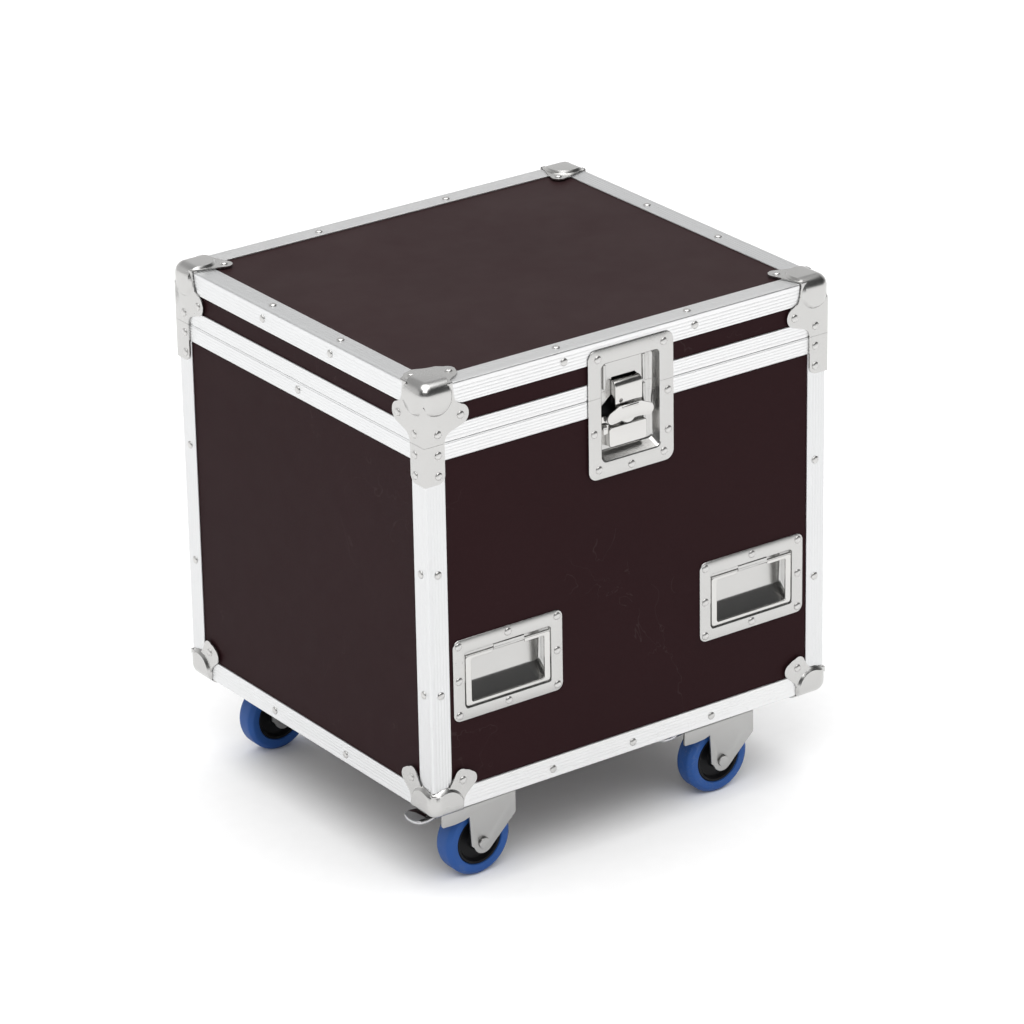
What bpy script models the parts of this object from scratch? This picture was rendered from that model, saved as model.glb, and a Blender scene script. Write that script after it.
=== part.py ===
"""Hard equipment case on four swivel casters, as an assembly of separate parts.

Metres, +Z up, floor at Z = 0, the case centred on the Z axis and its front facing -Y.
"""
import math

import bmesh
import bpy
from mathutils import Matrix, Vector

# Case body
WIDTH = 0.640
DEPTH = 0.570
HEIGHT = 0.590
CASTER_HEIGHT = 0.125
SEAM_HEIGHT = 0.513        # above the underside of the body
GAP = 0.0003               # between neighbouring parts

# Panels and aluminium profiles
PANEL = 0.009
SKIN = 0.0018
FLANGE = 0.030
CLOSING_LOW = 0.489        # lower edge of the base's closing frame
CLOSING_HIGH = 0.5346      # upper edge of the lid's closing frame
WEB = 0.004
TONGUE_INSET = 0.0065
TONGUE = 0.0022

# Ball corners and braces
SHEET = 0.002
DOME_PROUD = 0.0055
DOME_CENTRE = 0.020
DOME_RADIUS = 0.0328
DOME_FILLET = 0.018
LEG_WIDTH = 0.031
BRACE_LOW = 0.460
EDGE_ROOM = 0.0065         # cut from the profiles' outer edges inside a dome
EDGE_ROOM_LENGTH = 0.038
TIP_ROOM = 0.008           # cut from the panels' tips inside a dome

# Recessed bail handles
HANDLE_X = 0.198
HANDLE_Z = 0.180
HANDLE_PLATE = (0.172, 0.114)
HANDLE_DEPTH = 0.018
HANDLE_PIVOT_Z = 0.032     # above the handle's centre
BAIL_THICK = 0.0034
BAIL_BAND = 0.010
BAIL_PIN_R = 0.0016

# Butterfly latch
LATCH_HALF = 0.068
LATCH_LOW = 0.401
LATCH_HIGH = 0.579
RECESS_HALF = 0.0465
RECESS_LOW = 0.424
RECESS_HIGH = 0.557
RECESS_DEPTH = 0.015
CUTOUT_MARGIN = 0.003
KNOB_Z = 0.478
KNOB_R = 0.013
KNOB_FRONT = 0.0056          # behind the latch face: clear of the wing as it folds

# Piano hinge
HINGE_HALF = 0.230
HINGE_KNUCKLES = 7
KNUCKLE_R = 0.0025
HINGE_PIN_R = 0.0010
HINGE_OFFSET = 0.0028      # of the axis behind the rear face
LEAF = 0.0012
LEAF_HEIGHT = 0.022

# Casters
CASTER_X = 0.197
CASTER_Y = 0.235
TRAIL = 0.028
WHEEL_R = 0.050
CORE_R = 0.034
TYRE_HALF = 0.016
HUB_HALF = 0.021
AXLE_R = 0.006
FORK_HALF = 0.025
FORK_SHEET = 0.0035

BASE_Z = CASTER_HEIGHT
TOP_Z = BASE_Z + HEIGHT
SEAM_Z = BASE_Z + SEAM_HEIGHT
PANEL_INSET = SKIN + GAP
INNER_INSET = PANEL_INSET + PANEL + GAP
FRONT = -DEPTH / 2

COLOURS = {
    "panel": ((0.055, 0.035, 0.036), 0.55, 0.0),
    "aluminium": ((0.86, 0.87, 0.87), 0.35, 1.0),
    "steel": ((0.72, 0.72, 0.71), 0.30, 1.0),
    "bearing": ((0.55, 0.55, 0.55), 0.40, 1.0),
    "tyre": ((0.03, 0.13, 0.42), 0.60, 0.0),
    "core": ((0.03, 0.03, 0.035), 0.50, 0.0),
}


def make_materials():
    for name, (colour, roughness, metallic) in COLOURS.items():
        material = bpy.data.materials.new(name)
        material.use_nodes = True
        shader = material.node_tree.nodes["Principled BSDF"]
        shader.inputs["Base Color"].default_value = (*colour, 1.0)
        shader.inputs["Roughness"].default_value = roughness
        shader.inputs["Metallic"].default_value = metallic


def add(name, shape, material, origin=(0, 0, 0), smooth=False):
    """Make a named object from a bmesh in world coordinates, with its origin at `origin`."""
    bmesh.ops.remove_doubles(shape, verts=shape.verts, dist=0.000005)
    bmesh.ops.recalc_face_normals(shape, faces=shape.faces)
    bmesh.ops.translate(shape, verts=shape.verts, vec=-Vector(origin))
    mesh = bpy.data.meshes.new(name)
    shape.to_mesh(mesh)
    shape.free()
    mesh.materials.append(bpy.data.materials[material])
    if smooth:
        mesh.shade_smooth()
        mesh.set_sharp_from_angle(angle=math.radians(35))
    thing = bpy.data.objects.new(name, mesh)
    thing.location = origin
    bpy.context.scene.collection.objects.link(thing)
    return thing


def combine(first, second, operation):
    """Boolean of two bmeshes, which are used up, as a new bmesh."""
    pair = []
    for shape in (first, second):
        bmesh.ops.recalc_face_normals(shape, faces=shape.faces)
        mesh = bpy.data.meshes.new("shape")
        shape.to_mesh(mesh)
        shape.free()
        thing = bpy.data.objects.new("shape", mesh)
        bpy.context.scene.collection.objects.link(thing)
        pair.append(thing)
    host, tool = pair
    cut = host.modifiers.new("cut", "BOOLEAN")
    cut.operation = operation
    cut.solver = "EXACT"
    cut.object = tool
    evaluated = host.evaluated_get(bpy.context.evaluated_depsgraph_get())
    result = bmesh.new()
    result.from_mesh(evaluated.to_mesh())
    evaluated.to_mesh_clear()
    for thing in pair:
        bpy.data.objects.remove(thing)
    return result


def block(low, high):
    """Box between two opposite corners."""
    shape = bmesh.new()
    bmesh.ops.create_cube(shape, size=1.0)
    low, high = Vector(low), Vector(high)
    place = Matrix.Translation((low + high) / 2) @ Matrix.Diagonal((*(high - low), 1.0))
    bmesh.ops.transform(shape, verts=shape.verts, matrix=place)
    return shape


def rounded_block(low, high, radius, segments):
    shape = block(low, high)
    bmesh.ops.bevel(shape, geom=shape.edges[:], offset=radius, segments=segments, profile=0.5,
                    affect="EDGES", clamp_overlap=True)
    return shape


def ball(centre, radius, segments):
    shape = bmesh.new()
    bmesh.ops.create_uvsphere(shape, u_segments=segments, v_segments=segments // 2, radius=radius,
                              matrix=Matrix.Translation(centre))
    return shape


def prism(outline, low, high, axis):
    """Extrude a flat outline from `low` to `high` along an axis.

    The outline's pairs are (x, y) for axis z, (x, z) for axis y and (y, z) for axis x.
    """
    place = {"x": lambda u, v, w: (w, u, v), "y": lambda u, v, w: (u, w, v), "z": lambda u, v, w: (u, v, w)}[axis]
    shape = bmesh.new()
    bottom = [shape.verts.new(place(u, v, low)) for u, v in outline]
    top = [shape.verts.new(place(u, v, high)) for u, v in outline]
    shape.faces.new(bottom)
    shape.faces.new(top[::-1])
    for i in range(len(outline)):
        after = (i + 1) % len(outline)
        shape.faces.new((bottom[i], bottom[after], top[after], top[i]))
    bmesh.ops.recalc_face_normals(shape, faces=shape.faces)
    return shape


def arc(centre, radius, start, end, steps):
    """Points on an arc between two angles in degrees."""
    return [
        (
            centre[0] + radius * math.cos(math.radians(start + (end - start) * i / steps)),
            centre[1] + radius * math.sin(math.radians(start + (end - start) * i / steps)),
        )
        for i in range(steps + 1)
    ]


def rounded_rectangle(low, high, radius, steps=3):
    corners = (
        (high[0] - radius, high[1] - radius, 0),
        (low[0] + radius, high[1] - radius, 90),
        (low[0] + radius, low[1] + radius, 180),
        (high[0] - radius, low[1] + radius, 270),
    )
    return [p for u, v, start in corners for p in arc((u, v), radius, start, start + 90, steps)]


def loft(*sections):
    """Closed solid through sections, each an outline in (x, z) and its y, with equal numbers of points."""
    shape = bmesh.new()
    rings = [[shape.verts.new((x, y, z)) for x, z in outline] for outline, y in sections]
    shape.faces.new(rings[0])
    shape.faces.new(rings[-1][::-1])
    for near, far in zip(rings, rings[1:]):
        for i in range(len(near)):
            after = (i + 1) % len(near)
            shape.faces.new((near[i], near[after], far[after], far[i]))
    bmesh.ops.recalc_face_normals(shape, faces=shape.faces)
    return shape


def grown(low, high, margin, radius):
    """Rounded rectangle grown by a margin."""
    return rounded_rectangle((low[0] - margin, low[1] - margin), (high[0] + margin, high[1] + margin), radius)


def turned(profile, centre, axis, segments):
    """Ring turned from a closed profile of (radius, distance along the axis) pairs."""
    turn = {"x": Matrix.Rotation(math.pi / 2, 4, "Y"), "y": Matrix.Rotation(-math.pi / 2, 4, "X"), "z": Matrix()}[axis]
    place = Matrix.Translation(centre) @ turn
    shape = bmesh.new()
    rings = []
    for i in range(segments):
        angle = math.tau * i / segments
        rings.append([shape.verts.new(place @ Vector((r * math.cos(angle), r * math.sin(angle), t))) for r, t in profile])
    for near, far in zip(rings, rings[1:] + rings[:1]):
        for j in range(len(profile)):
            after = (j + 1) % len(profile)
            shape.faces.new((near[j], near[after], far[after], far[j]))
    bmesh.ops.recalc_face_normals(shape, faces=shape.faces)
    return shape


def rod(centre, axis, radius, low, high, segments):
    """Solid cylinder about `centre`, from `low` to `high` along the axis."""
    outline = arc((0, 0), radius, 0, 360 - 360 / segments, segments - 1)
    shape = prism(outline, low, high, axis)
    bmesh.ops.translate(shape, verts=shape.verts, vec=centre)
    return shape


def edge_ring(profile):
    """Frame around the case: each profile point is (inset from the outer faces, height)."""
    shape = bmesh.new()
    loops = []
    for inset, z in profile:
        x, y = WIDTH / 2 - inset, DEPTH / 2 - inset
        loops.append([shape.verts.new((sx * x, sy * y, z)) for sx, sy in ((1, 1), (-1, 1), (-1, -1), (1, -1))])
    for near, far in zip(loops, loops[1:] + loops[:1]):
        for i in range(4):
            after = (i + 1) % 4
            shape.faces.new((near[i], near[after], far[after], far[i]))
    bmesh.ops.recalc_face_normals(shape, faces=shape.faces)
    return shape


def at_corner(shape, side_x, side_y, top):
    """Copy a corner shape, drawn inwards from a corner at the origin, to one of the case's corners."""
    copy = shape.copy()
    flip = Matrix.Diagonal((-side_x, -side_y, -1 if top else 1, 1))
    place = Matrix.Translation((side_x * WIDTH / 2, side_y * DEPTH / 2, TOP_Z if top else BASE_Z))
    bmesh.ops.transform(copy, verts=copy.verts, matrix=place @ flip)
    bmesh.ops.recalc_face_normals(copy, faces=copy.faces)
    return copy


CORNERS = [(sx, sy) for sx in (-1, 1) for sy in (-1, 1)]


def corner_name(side_x, side_y):
    return f"{'front' if side_y < 0 else 'rear'}_{'left' if side_x < 0 else 'right'}"


def without_corner_edges(shape, top):
    """Cut a profile's sharp outer edges away where the four ball corners' domes cover them."""
    for side_x, side_y in CORNERS:
        for axis in range(3):
            low = [-0.001, -0.001, -0.001]
            high = [EDGE_ROOM, EDGE_ROOM, EDGE_ROOM]
            high[axis] = EDGE_ROOM_LENGTH
            shape = combine(shape, at_corner(block(low, high), side_x, side_y, top), "DIFFERENCE")
    return shape


def without_tips(shape, top):
    """Cut a panel's tips away where the four ball corners' domes cover them."""
    for side_x, side_y in CORNERS:
        tip = at_corner(block((-0.001,) * 3, (TIP_ROOM,) * 3), side_x, side_y, top)
        shape = combine(shape, tip, "DIFFERENCE")
    return shape


def make_edge_frames():
    """L profiles around the bottom and the top, and the tongue-and-groove frames at the seam."""
    low = [
        (0, BASE_Z), (0, BASE_Z + FLANGE), (SKIN, BASE_Z + FLANGE),
        (SKIN, BASE_Z + SKIN), (FLANGE, BASE_Z + SKIN), (FLANGE, BASE_Z),
    ]
    add("bottom_edge_frame", without_corner_edges(edge_ring(low), False), "aluminium")
    high = [(inset, BASE_Z + TOP_Z - z) for inset, z in low]
    add("top_edge_frame", without_corner_edges(edge_ring(high), True), "aluminium")

    seam = SEAM_Z - GAP / 2
    inner = INNER_INSET + SKIN
    groove = [
        (0, seam), (TONGUE_INSET - 0.0022, seam), (TONGUE_INSET - 0.0018, seam - 0.0026),
        (TONGUE_INSET + 0.0024, seam - 0.0026), (TONGUE_INSET + 0.0030, seam), (inner, seam),
        (inner, seam - 0.016), (INNER_INSET, seam - 0.016), (INNER_INSET, seam - WEB),
        (SKIN, seam - WEB), (SKIN, BASE_Z + CLOSING_LOW), (0, BASE_Z + CLOSING_LOW),
    ]
    base = combine(edge_ring(groove), latch_cutout(), "DIFFERENCE")
    add("base_closing_frame", base, "aluminium")

    seam = SEAM_Z + GAP / 2
    tongue = [
        (0, seam), (TONGUE_INSET - 0.0014, seam), (TONGUE_INSET - 0.0008, seam - TONGUE),
        (TONGUE_INSET + 0.0008, seam - TONGUE), (TONGUE_INSET + 0.0014, seam), (inner, seam),
        (inner, seam + 0.016), (INNER_INSET, seam + 0.016), (INNER_INSET, seam + WEB),
        (SKIN, seam + WEB), (SKIN, BASE_Z + CLOSING_HIGH), (0, BASE_Z + CLOSING_HIGH),
    ]
    lid = combine(edge_ring(tongue), latch_cutout(), "DIFFERENCE")
    add("lid_closing_frame", lid, "aluminium")


def make_vertical_profiles():
    outline = [(0, 0), (FLANGE, 0), (FLANGE, SKIN), (SKIN, SKIN), (SKIN, FLANGE), (0, FLANGE)]
    for side_x, side_y in CORNERS:
        shape = prism(outline, FLANGE + GAP, CLOSING_LOW - GAP, "z")
        shape = without_corner_edges(at_corner(shape, side_x, side_y, False), False)
        add(f"corner_profile_{corner_name(side_x, side_y)}", shape, "aluminium")


def latch_cutout():
    """Opening for the latch dish through the front panels and the closing frames."""
    half = RECESS_HALF + CUTOUT_MARGIN
    return block(
        (-half, FRONT - 0.01, BASE_Z + RECESS_LOW - CUTOUT_MARGIN),
        (half, FRONT + 0.03, BASE_Z + RECESS_HIGH + CUTOUT_MARGIN),
    )


def handle_cutout(side):
    half_x, half_z = 0.0735, 0.0430
    x, z = side * HANDLE_X, BASE_Z + HANDLE_Z
    return block((x - half_x, FRONT - 0.01, z - half_z), (x + half_x, FRONT + 0.03, z + half_z))


def make_panels():
    """Nine-millimetre panels: the sides stand between the front and the back, top and floor between all four."""
    x_out, y_out = WIDTH / 2 - PANEL_INSET, DEPTH / 2 - PANEL_INSET
    x_in, y_in = WIDTH / 2 - INNER_INSET, DEPTH / 2 - INNER_INSET
    shells = (
        ("base", False, BASE_Z + PANEL_INSET, SEAM_Z - GAP / 2 - WEB - GAP, BASE_Z + PANEL_INSET),
        ("lid", True, SEAM_Z + GAP / 2 + WEB + GAP, TOP_Z - PANEL_INSET, TOP_Z - PANEL_INSET - PANEL),
    )
    for shell, top, low, high, flat_low in shells:
        front = combine(block((-x_out, -y_out, low), (x_out, -y_out + PANEL, high)), latch_cutout(), "DIFFERENCE")
        if shell == "base":
            for side in (-1, 1):
                front = combine(front, handle_cutout(side), "DIFFERENCE")
        add(f"{shell}_front_panel", without_tips(front, top), "panel")
        back = block((-x_out, y_out - PANEL, low), (x_out, y_out, high))
        add(f"{shell}_back_panel", without_tips(back, top), "panel")
        for side, word in ((-1, "left"), (1, "right")):
            edges = sorted((side * x_out, side * (x_out - PANEL)))
            wall = block((edges[0], -y_in, low), (edges[1], y_in, high))
            add(f"{shell}_{word}_panel", wall, "panel")
        flat = block((-x_in, -y_in, flat_low), (x_in, y_in, flat_low + PANEL))
        add("base_floor_panel" if shell == "base" else "lid_top_panel", flat, "panel")


def dome_solid(shrink, segments):
    """Rounded cube that stands proud of the three faces, trimmed to a ball."""
    reach = 0.080
    low = -(DOME_PROUD - shrink)
    cube = rounded_block((low,) * 3, (reach,) * 3, DOME_FILLET - shrink, 3)
    return combine(cube, ball((DOME_CENTRE,) * 3, DOME_RADIUS - shrink, segments), "INTERSECT")


def face_plates(side_outline, top_outline):
    """Sheet on the three faces that meet in a corner, 0.3 mm off the profiles."""
    low, high = -SHEET - GAP, -GAP
    shape = combine(prism(side_outline, low, high, "x"), prism(side_outline, low, high, "y"), "UNION")
    return combine(shape, prism(top_outline, low, high, "z"), "UNION")


def ball_corner(side_outline, top_outline):
    """Pressed ball corner: a hollow dome on three flat lobes."""
    segments = 18
    plates = face_plates(side_outline, top_outline)
    under_dome = combine(
        ball((DOME_CENTRE,) * 3, DOME_RADIUS - 0.0005, segments), block((-0.004,) * 3, (0.019,) * 3), "UNION"
    )
    plates = combine(plates, under_dome, "DIFFERENCE")
    far = 0.090
    dome = combine(dome_solid(0, segments), dome_solid(SHEET, segments), "DIFFERENCE")
    faces = block((-GAP,) * 3, (far,) * 3)
    for axis in range(3):
        high = [EDGE_ROOM - 0.0005] * 3
        high[axis] = EDGE_ROOM_LENGTH - 0.001
        faces = combine(faces, block((-0.001,) * 3, high), "DIFFERENCE")
    dome = combine(dome, faces, "DIFFERENCE")
    inside = block((PANEL_INSET - GAP,) * 3, (far,) * 3)
    inside = combine(inside, block((0,) * 3, (TIP_ROOM,) * 3), "DIFFERENCE")
    dome = combine(dome, inside, "DIFFERENCE")
    return combine(dome, plates, "UNION")


def make_ball_corners():
    edge = -SHEET - GAP
    seam_depth = HEIGHT - SEAM_HEIGHT - GAP / 2
    wing = arc((0.0550, 0.0440), 0.0135, 80, -80, 6)
    upper_side = (
        [(edge, edge), (edge, seam_depth), (LEG_WIDTH, seam_depth), (0.0345, 0.067), (0.0440, 0.0605)]
        + wing + [(0.0480, 0.0180), (0.0430, 0.0040), (0.0430, edge)]
    )
    upper_top = (
        [(edge, edge), (0.0430, edge), (0.0430, 0.0040)]
        + [(0.0460, 0.0230)] + arc((0.0480, 0.0480), 0.0110, -50, 140, 8) + [(0.0230, 0.0460)]
        + [(0.0040, 0.0430), (edge, 0.0430)]
    )
    upper = ball_corner(upper_side, upper_top)

    lobe = arc((0.0440, 0.0420), 0.0170, -60, 150, 8)
    lower_face = (
        [(edge, edge), (0.0430, edge), (0.0430, 0.0040), (0.0470, 0.0200)]
        + lobe + [(0.0200, 0.0440), (0.0040, 0.0400), (edge, 0.0400)]
    )
    mirrored = [(v, u) for u, v in lower_face][::-1]
    lower = ball_corner(lower_face, mirrored)
    for side_x, side_y in CORNERS:
        place = corner_name(side_x, side_y)
        add(f"lid_ball_corner_{place}", at_corner(upper, side_x, side_y, True), "steel", smooth=True)
        add(f"base_ball_corner_{place}", at_corner(lower, side_x, side_y, False), "steel", smooth=True)


def make_braces():
    """Base half of each upper corner's brace, below the seam."""
    edge, low, high = -SHEET - GAP, BRACE_LOW, SEAM_HEIGHT - GAP / 2
    radius = 0.010
    leg = (
        [(edge, high), (edge, low)]
        + arc((LEG_WIDTH - radius, low + radius), radius, -90, 0, 4) + [(LEG_WIDTH, high)]
    )
    shape = combine(prism(leg, edge, -GAP, "x"), prism(leg, edge, -GAP, "y"), "UNION")
    for side_x, side_y in CORNERS:
        add(f"corner_brace_{corner_name(side_x, side_y)}", at_corner(shape, side_x, side_y, False), "steel")


def make_handle(side, word):
    """Pressed dish with a bail that swings up about a pin along its top."""
    x, z = side * HANDLE_X, BASE_Z + HANDLE_Z
    sheet = 0.0015
    face = FRONT + PANEL_INSET - GAP - sheet
    half = (HANDLE_PLATE[0] / 2, HANDLE_PLATE[1] / 2)
    plate_outline = rounded_rectangle((x - half[0], z - half[1]), (x + half[0], z + half[1]), 0.010)
    mouth = ((x - 0.068, z - 0.040), (x + 0.068, z + 0.037))
    floor = ((x - 0.061, z - 0.018), (x + 0.061, z + 0.034))
    wall = 0.0015
    ledge = face + BAIL_THICK + 0.0012
    outer = loft(
        (grown(*mouth, wall, 0.006), face + 0.0002),
        (grown(*mouth, wall, 0.006), ledge + wall),
        (grown(*floor, wall, 0.006), face + HANDLE_DEPTH + wall),
    )
    hollow = loft(
        (grown(*mouth, 0, 0.0045), face - 0.001),
        (grown(*mouth, 0, 0.0045), ledge),
        (grown(*floor, 0, 0.0045), face + HANDLE_DEPTH),
    )
    dish = combine(prism(plate_outline, face, face + sheet, "y"), outer, "UNION")
    dish = combine(dish, hollow, "DIFFERENCE")
    pivot = Vector((x, face + 0.0002 + BAIL_THICK / 2, z + HANDLE_PIVOT_Z))
    dish = combine(dish, rod(pivot, "x", BAIL_PIN_R + 0.0004, -0.073, 0.073, 12), "DIFFERENCE")
    add(f"handle_dish_{word}", dish, "steel", smooth=True)

    reach = 0.0665
    front, back = pivot.y - BAIL_THICK / 2, pivot.y + BAIL_THICK / 2
    outline = rounded_rectangle((x - reach, z - 0.0385), (x + reach, z + HANDLE_PIVOT_Z + 0.003), 0.0028)
    bail = prism(outline, front, back, "y")
    window = prism(
        rounded_rectangle((x - reach + BAIL_BAND, z - 0.0385 + 0.0075), (x + reach - BAIL_BAND, z + HANDLE_PIVOT_Z - 0.004), 0.004),
        front - 0.001, back + 0.001, "y",
    )
    bail = combine(bail, window, "DIFFERENCE")
    for end in (-1, 1):
        ends = sorted((end * (reach - 0.004), end * (reach + 0.0040)))
        bail = combine(bail, rod(pivot, "x", BAIL_PIN_R, *ends, 12), "UNION")
    add(f"handle_bail_{word}", bail, "steel", origin=pivot, smooth=True)


def make_latch():
    """Recessed butterfly latch: a dish split at the seam, and a hook drawn by a knob with a folding wing."""
    sheet = 0.0015
    face = FRONT - GAP - sheet
    low, high = BASE_Z + RECESS_LOW, BASE_Z + RECESS_HIGH
    plate = prism(
        rounded_rectangle((-LATCH_HALF, BASE_Z + LATCH_LOW), (LATCH_HALF, BASE_Z + LATCH_HIGH), 0.013),
        face, face + sheet, "y",
    )
    wall, draft = 0.0015, 0.004
    mouth = ((-RECESS_HALF, low), (RECESS_HALF, high))
    deep = ((-RECESS_HALF + draft, low + 2 * draft), (RECESS_HALF - draft, high - draft))
    outer = loft(
        (grown(*mouth, wall, 0.008), face + 0.0002), (grown(*deep, wall, 0.008), face + RECESS_DEPTH + wall)
    )
    hollow = loft((grown(*mouth, 0, 0.007), face - 0.001), (grown(*deep, 0, 0.007), face + RECESS_DEPTH))
    dish = combine(combine(plate, outer, "UNION"), hollow, "DIFFERENCE")
    beyond = 0.2
    below = block((-beyond, FRONT - beyond, 0), (beyond, FRONT + beyond, SEAM_Z - GAP / 2))
    above = block((-beyond, FRONT - beyond, SEAM_Z + GAP / 2), (beyond, FRONT + beyond, TOP_Z + beyond))
    lower = combine(dish.copy(), below, "INTERSECT")
    upper = combine(dish, above, "INTERSECT")

    floor = face + RECESS_DEPTH
    cover = prism(
        rounded_rectangle((-0.030, BASE_Z + 0.437), (0.030, BASE_Z + 0.4645), 0.004),
        face + 0.0065, floor + 0.0007, "y",
    )
    lower = combine(lower, cover, "UNION")
    add("latch_dish_lower", lower, "steel", smooth=True)
    slot = block((-0.022, floor - 0.001, BASE_Z + 0.5285), (0.022, floor + 0.004, BASE_Z + 0.538))
    add("latch_dish_upper", combine(upper, slot, "DIFFERENCE"), "steel", smooth=True)

    strap = 0.0025
    ends = face + 0.0095, face + 0.0045, floor - 0.0004
    spine = [(ends[0], 0.4925), (ends[1], 0.500), (ends[1], 0.518)]
    spine += [(ends[1] + 0.008 - 0.008 * math.cos(t), 0.518 + 0.0085 * math.sin(t)) for t in (0.5, 1.0, math.pi / 2)]
    spine += [(ends[2], 0.5265)]
    hook = prism(thickened(spine, strap), -0.022, 0.022, "x")
    bmesh.ops.translate(hook, verts=hook.verts, vec=(0, 0, BASE_Z))
    add("latch_hook", hook, "steel", smooth=True)

    knob_at = Vector((0, face, BASE_Z + KNOB_Z))
    knob = rod(knob_at, "y", KNOB_R, KNOB_FRONT, RECESS_DEPTH - GAP, 24)
    add("latch_knob", knob, "steel", origin=knob_at, smooth=True)

    hinge_at = Vector((0, face + 0.0022, BASE_Z + KNOB_Z + 0.0125))
    wing_outline = (
        [(0.018, 0.0025), (-0.018, 0.0025)] + arc((-0.029, -0.012), 0.008, 110, 250, 5)
        + arc((0.029, -0.012), 0.008, -70, 70, 5)
    )
    wing = prism([(u + hinge_at.x, v + hinge_at.z) for u, v in wing_outline], face + 0.0006, face + 0.0038, "y")
    add("latch_wing", wing, "steel", origin=hinge_at, smooth=True)


def thickened(spine, width):
    """Outline of a strip of even width, to one side of a spine of (u, v) points."""
    offset = []
    for i, point in enumerate(spine):
        before = Vector(spine[max(i - 1, 0)])
        after = Vector(spine[min(i + 1, len(spine) - 1)])
        along = (after - before).normalized()
        offset.append(tuple(Vector(point) + width * Vector((along.y, -along.x))))
    return spine + offset[::-1]


def make_hinge():
    """Piano hinge along the rear of the seam."""
    axis = Vector((0, DEPTH / 2 + HINGE_OFFSET, SEAM_Z))
    near = DEPTH / 2 + GAP
    pitch = 2 * HINGE_HALF / HINGE_KNUCKLES
    for word, side, first in (("base", -1, 0), ("lid", 1, 1)):
        heights = sorted((SEAM_Z + side * (KNUCKLE_R + 0.0006), SEAM_Z + side * LEAF_HEIGHT))
        leaf = block((-HINGE_HALF, near, heights[0]), (HINGE_HALF, near + LEAF, heights[1]))
        for i in range(first, HINGE_KNUCKLES, 2):
            low = -HINGE_HALF + pitch * i + GAP / 2
            high = low + pitch - GAP
            neck = sorted((SEAM_Z, SEAM_Z + side * (KNUCKLE_R + 0.001)))
            leaf = combine(leaf, block((low, near, neck[0]), (high, near + LEAF, neck[1])), "UNION")
            leaf = combine(leaf, rod(axis, "x", KNUCKLE_R, low, high, 12), "UNION")
        bore = rod(axis, "x", HINGE_PIN_R + 0.0003, -HINGE_HALF - 0.01, HINGE_HALF + 0.01, 12)
        add(f"hinge_{word}_leaf", combine(leaf, bore, "DIFFERENCE"), "steel")
    add("hinge_pin", rod(axis, "x", HINGE_PIN_R, -HINGE_HALF - 0.001, HINGE_HALF + 0.001, 12), "steel")


def make_caster(side_x, side_y):
    """Swivel caster that trails towards -X; the front pair has a brake pedal."""
    place = corner_name(side_x, side_y)
    braked = side_y < 0
    swivel = Vector((side_x * CASTER_X, side_y * CASTER_Y, 0))
    axle = swivel + Vector((-TRAIL, 0, WHEEL_R))
    plate_top = BASE_Z - GAP
    race_low = 0.1140
    plate = block(
        (swivel.x - 0.0525, swivel.y - 0.040, plate_top - 0.003), (swivel.x + 0.0525, swivel.y + 0.040, plate_top)
    )
    plate = combine(plate, rod(swivel, "z", 0.024, race_low, plate_top - 0.001, 24), "UNION")
    add(f"caster_plate_{place}", plate, "steel", smooth=True)

    crown = race_low - GAP - axle.z
    back = -0.065 if braked else -0.019
    outline = [(0.052, 0.028), (0.052, crown), (back, crown)]
    outline += [(back, 0.044), (-0.019, 0.041)] if braked else []
    outline += arc((0, 0), 0.015, 180, 300, 5)
    fork = prism(outline, -FORK_HALF, FORK_HALF, "y")
    room = FORK_HALF - FORK_SHEET
    fork = combine(fork, block((-0.2, -room, -0.1), (0.2, room, crown - FORK_SHEET)), "DIFFERENCE")
    bmesh.ops.translate(fork, verts=fork.verts, vec=axle)
    fork = combine(fork, rod(axle, "y", AXLE_R, -FORK_HALF - 0.003, FORK_HALF + 0.003, 16), "UNION")
    add(f"caster_fork_{place}", fork, "steel", origin=swivel + Vector((0, 0, race_low)), smooth=True)

    bore = AXLE_R + GAP
    half = TYRE_HALF - 0.001
    core = [
        (bore, -HUB_HALF), (0.012, -HUB_HALF), (0.012, -half), (CORE_R, -half),
        (CORE_R, half), (0.012, half), (0.012, HUB_HALF), (bore, HUB_HALF),
    ]
    add(f"wheel_core_{place}", turned(core, axle, "y", 24), "core", origin=axle, smooth=True)
    inner, chamfer = CORE_R + GAP, 0.005
    tyre = [
        (inner, -TYRE_HALF), (WHEEL_R - chamfer, -TYRE_HALF), (WHEEL_R, -TYRE_HALF + chamfer),
        (WHEEL_R, TYRE_HALF - chamfer), (WHEEL_R - chamfer, TYRE_HALF), (inner, TYRE_HALF),
    ]
    add(f"tyre_{place}", turned(tyre, axle, "y", 36), "tyre", origin=axle, smooth=True)

    if braked:
        pivot = axle + Vector((-0.060, 0, 0.0545))
        outline = [(-0.100, 0.0515), (-0.0985, 0.0565), (-0.057, 0.0575), (-0.057, 0.0515)]
        pedal = prism(outline, -0.0200, 0.0200, "y")
        bmesh.ops.translate(pedal, verts=pedal.verts, vec=axle)
        add(f"brake_pedal_{place}", pedal, "steel", origin=pivot)


def main():
    for thing in list(bpy.data.objects):
        bpy.data.objects.remove(thing)
    make_materials()
    make_edge_frames()
    make_vertical_profiles()
    make_panels()
    make_ball_corners()
    make_braces()
    make_handle(-1, "left")
    make_handle(1, "right")
    make_latch()
    make_hinge()
    for side_x, side_y in CORNERS:
        make_caster(side_x, side_y)
    bpy.context.view_layer.update()


main()
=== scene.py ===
# %% [markdown]
# # A flight case on casters
# A flight case is a plywood box held together by aluminium edge profiles, pressed steel corners and
# a lot of rivets. The working model gives every part's place. This script dresses it: each cell
# says what a piece is on the real case, how it could be made, and why it is made the way it is.

# %% Load the working model
import math

import bmesh
import bpy
from mathutils import Matrix, Vector


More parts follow.
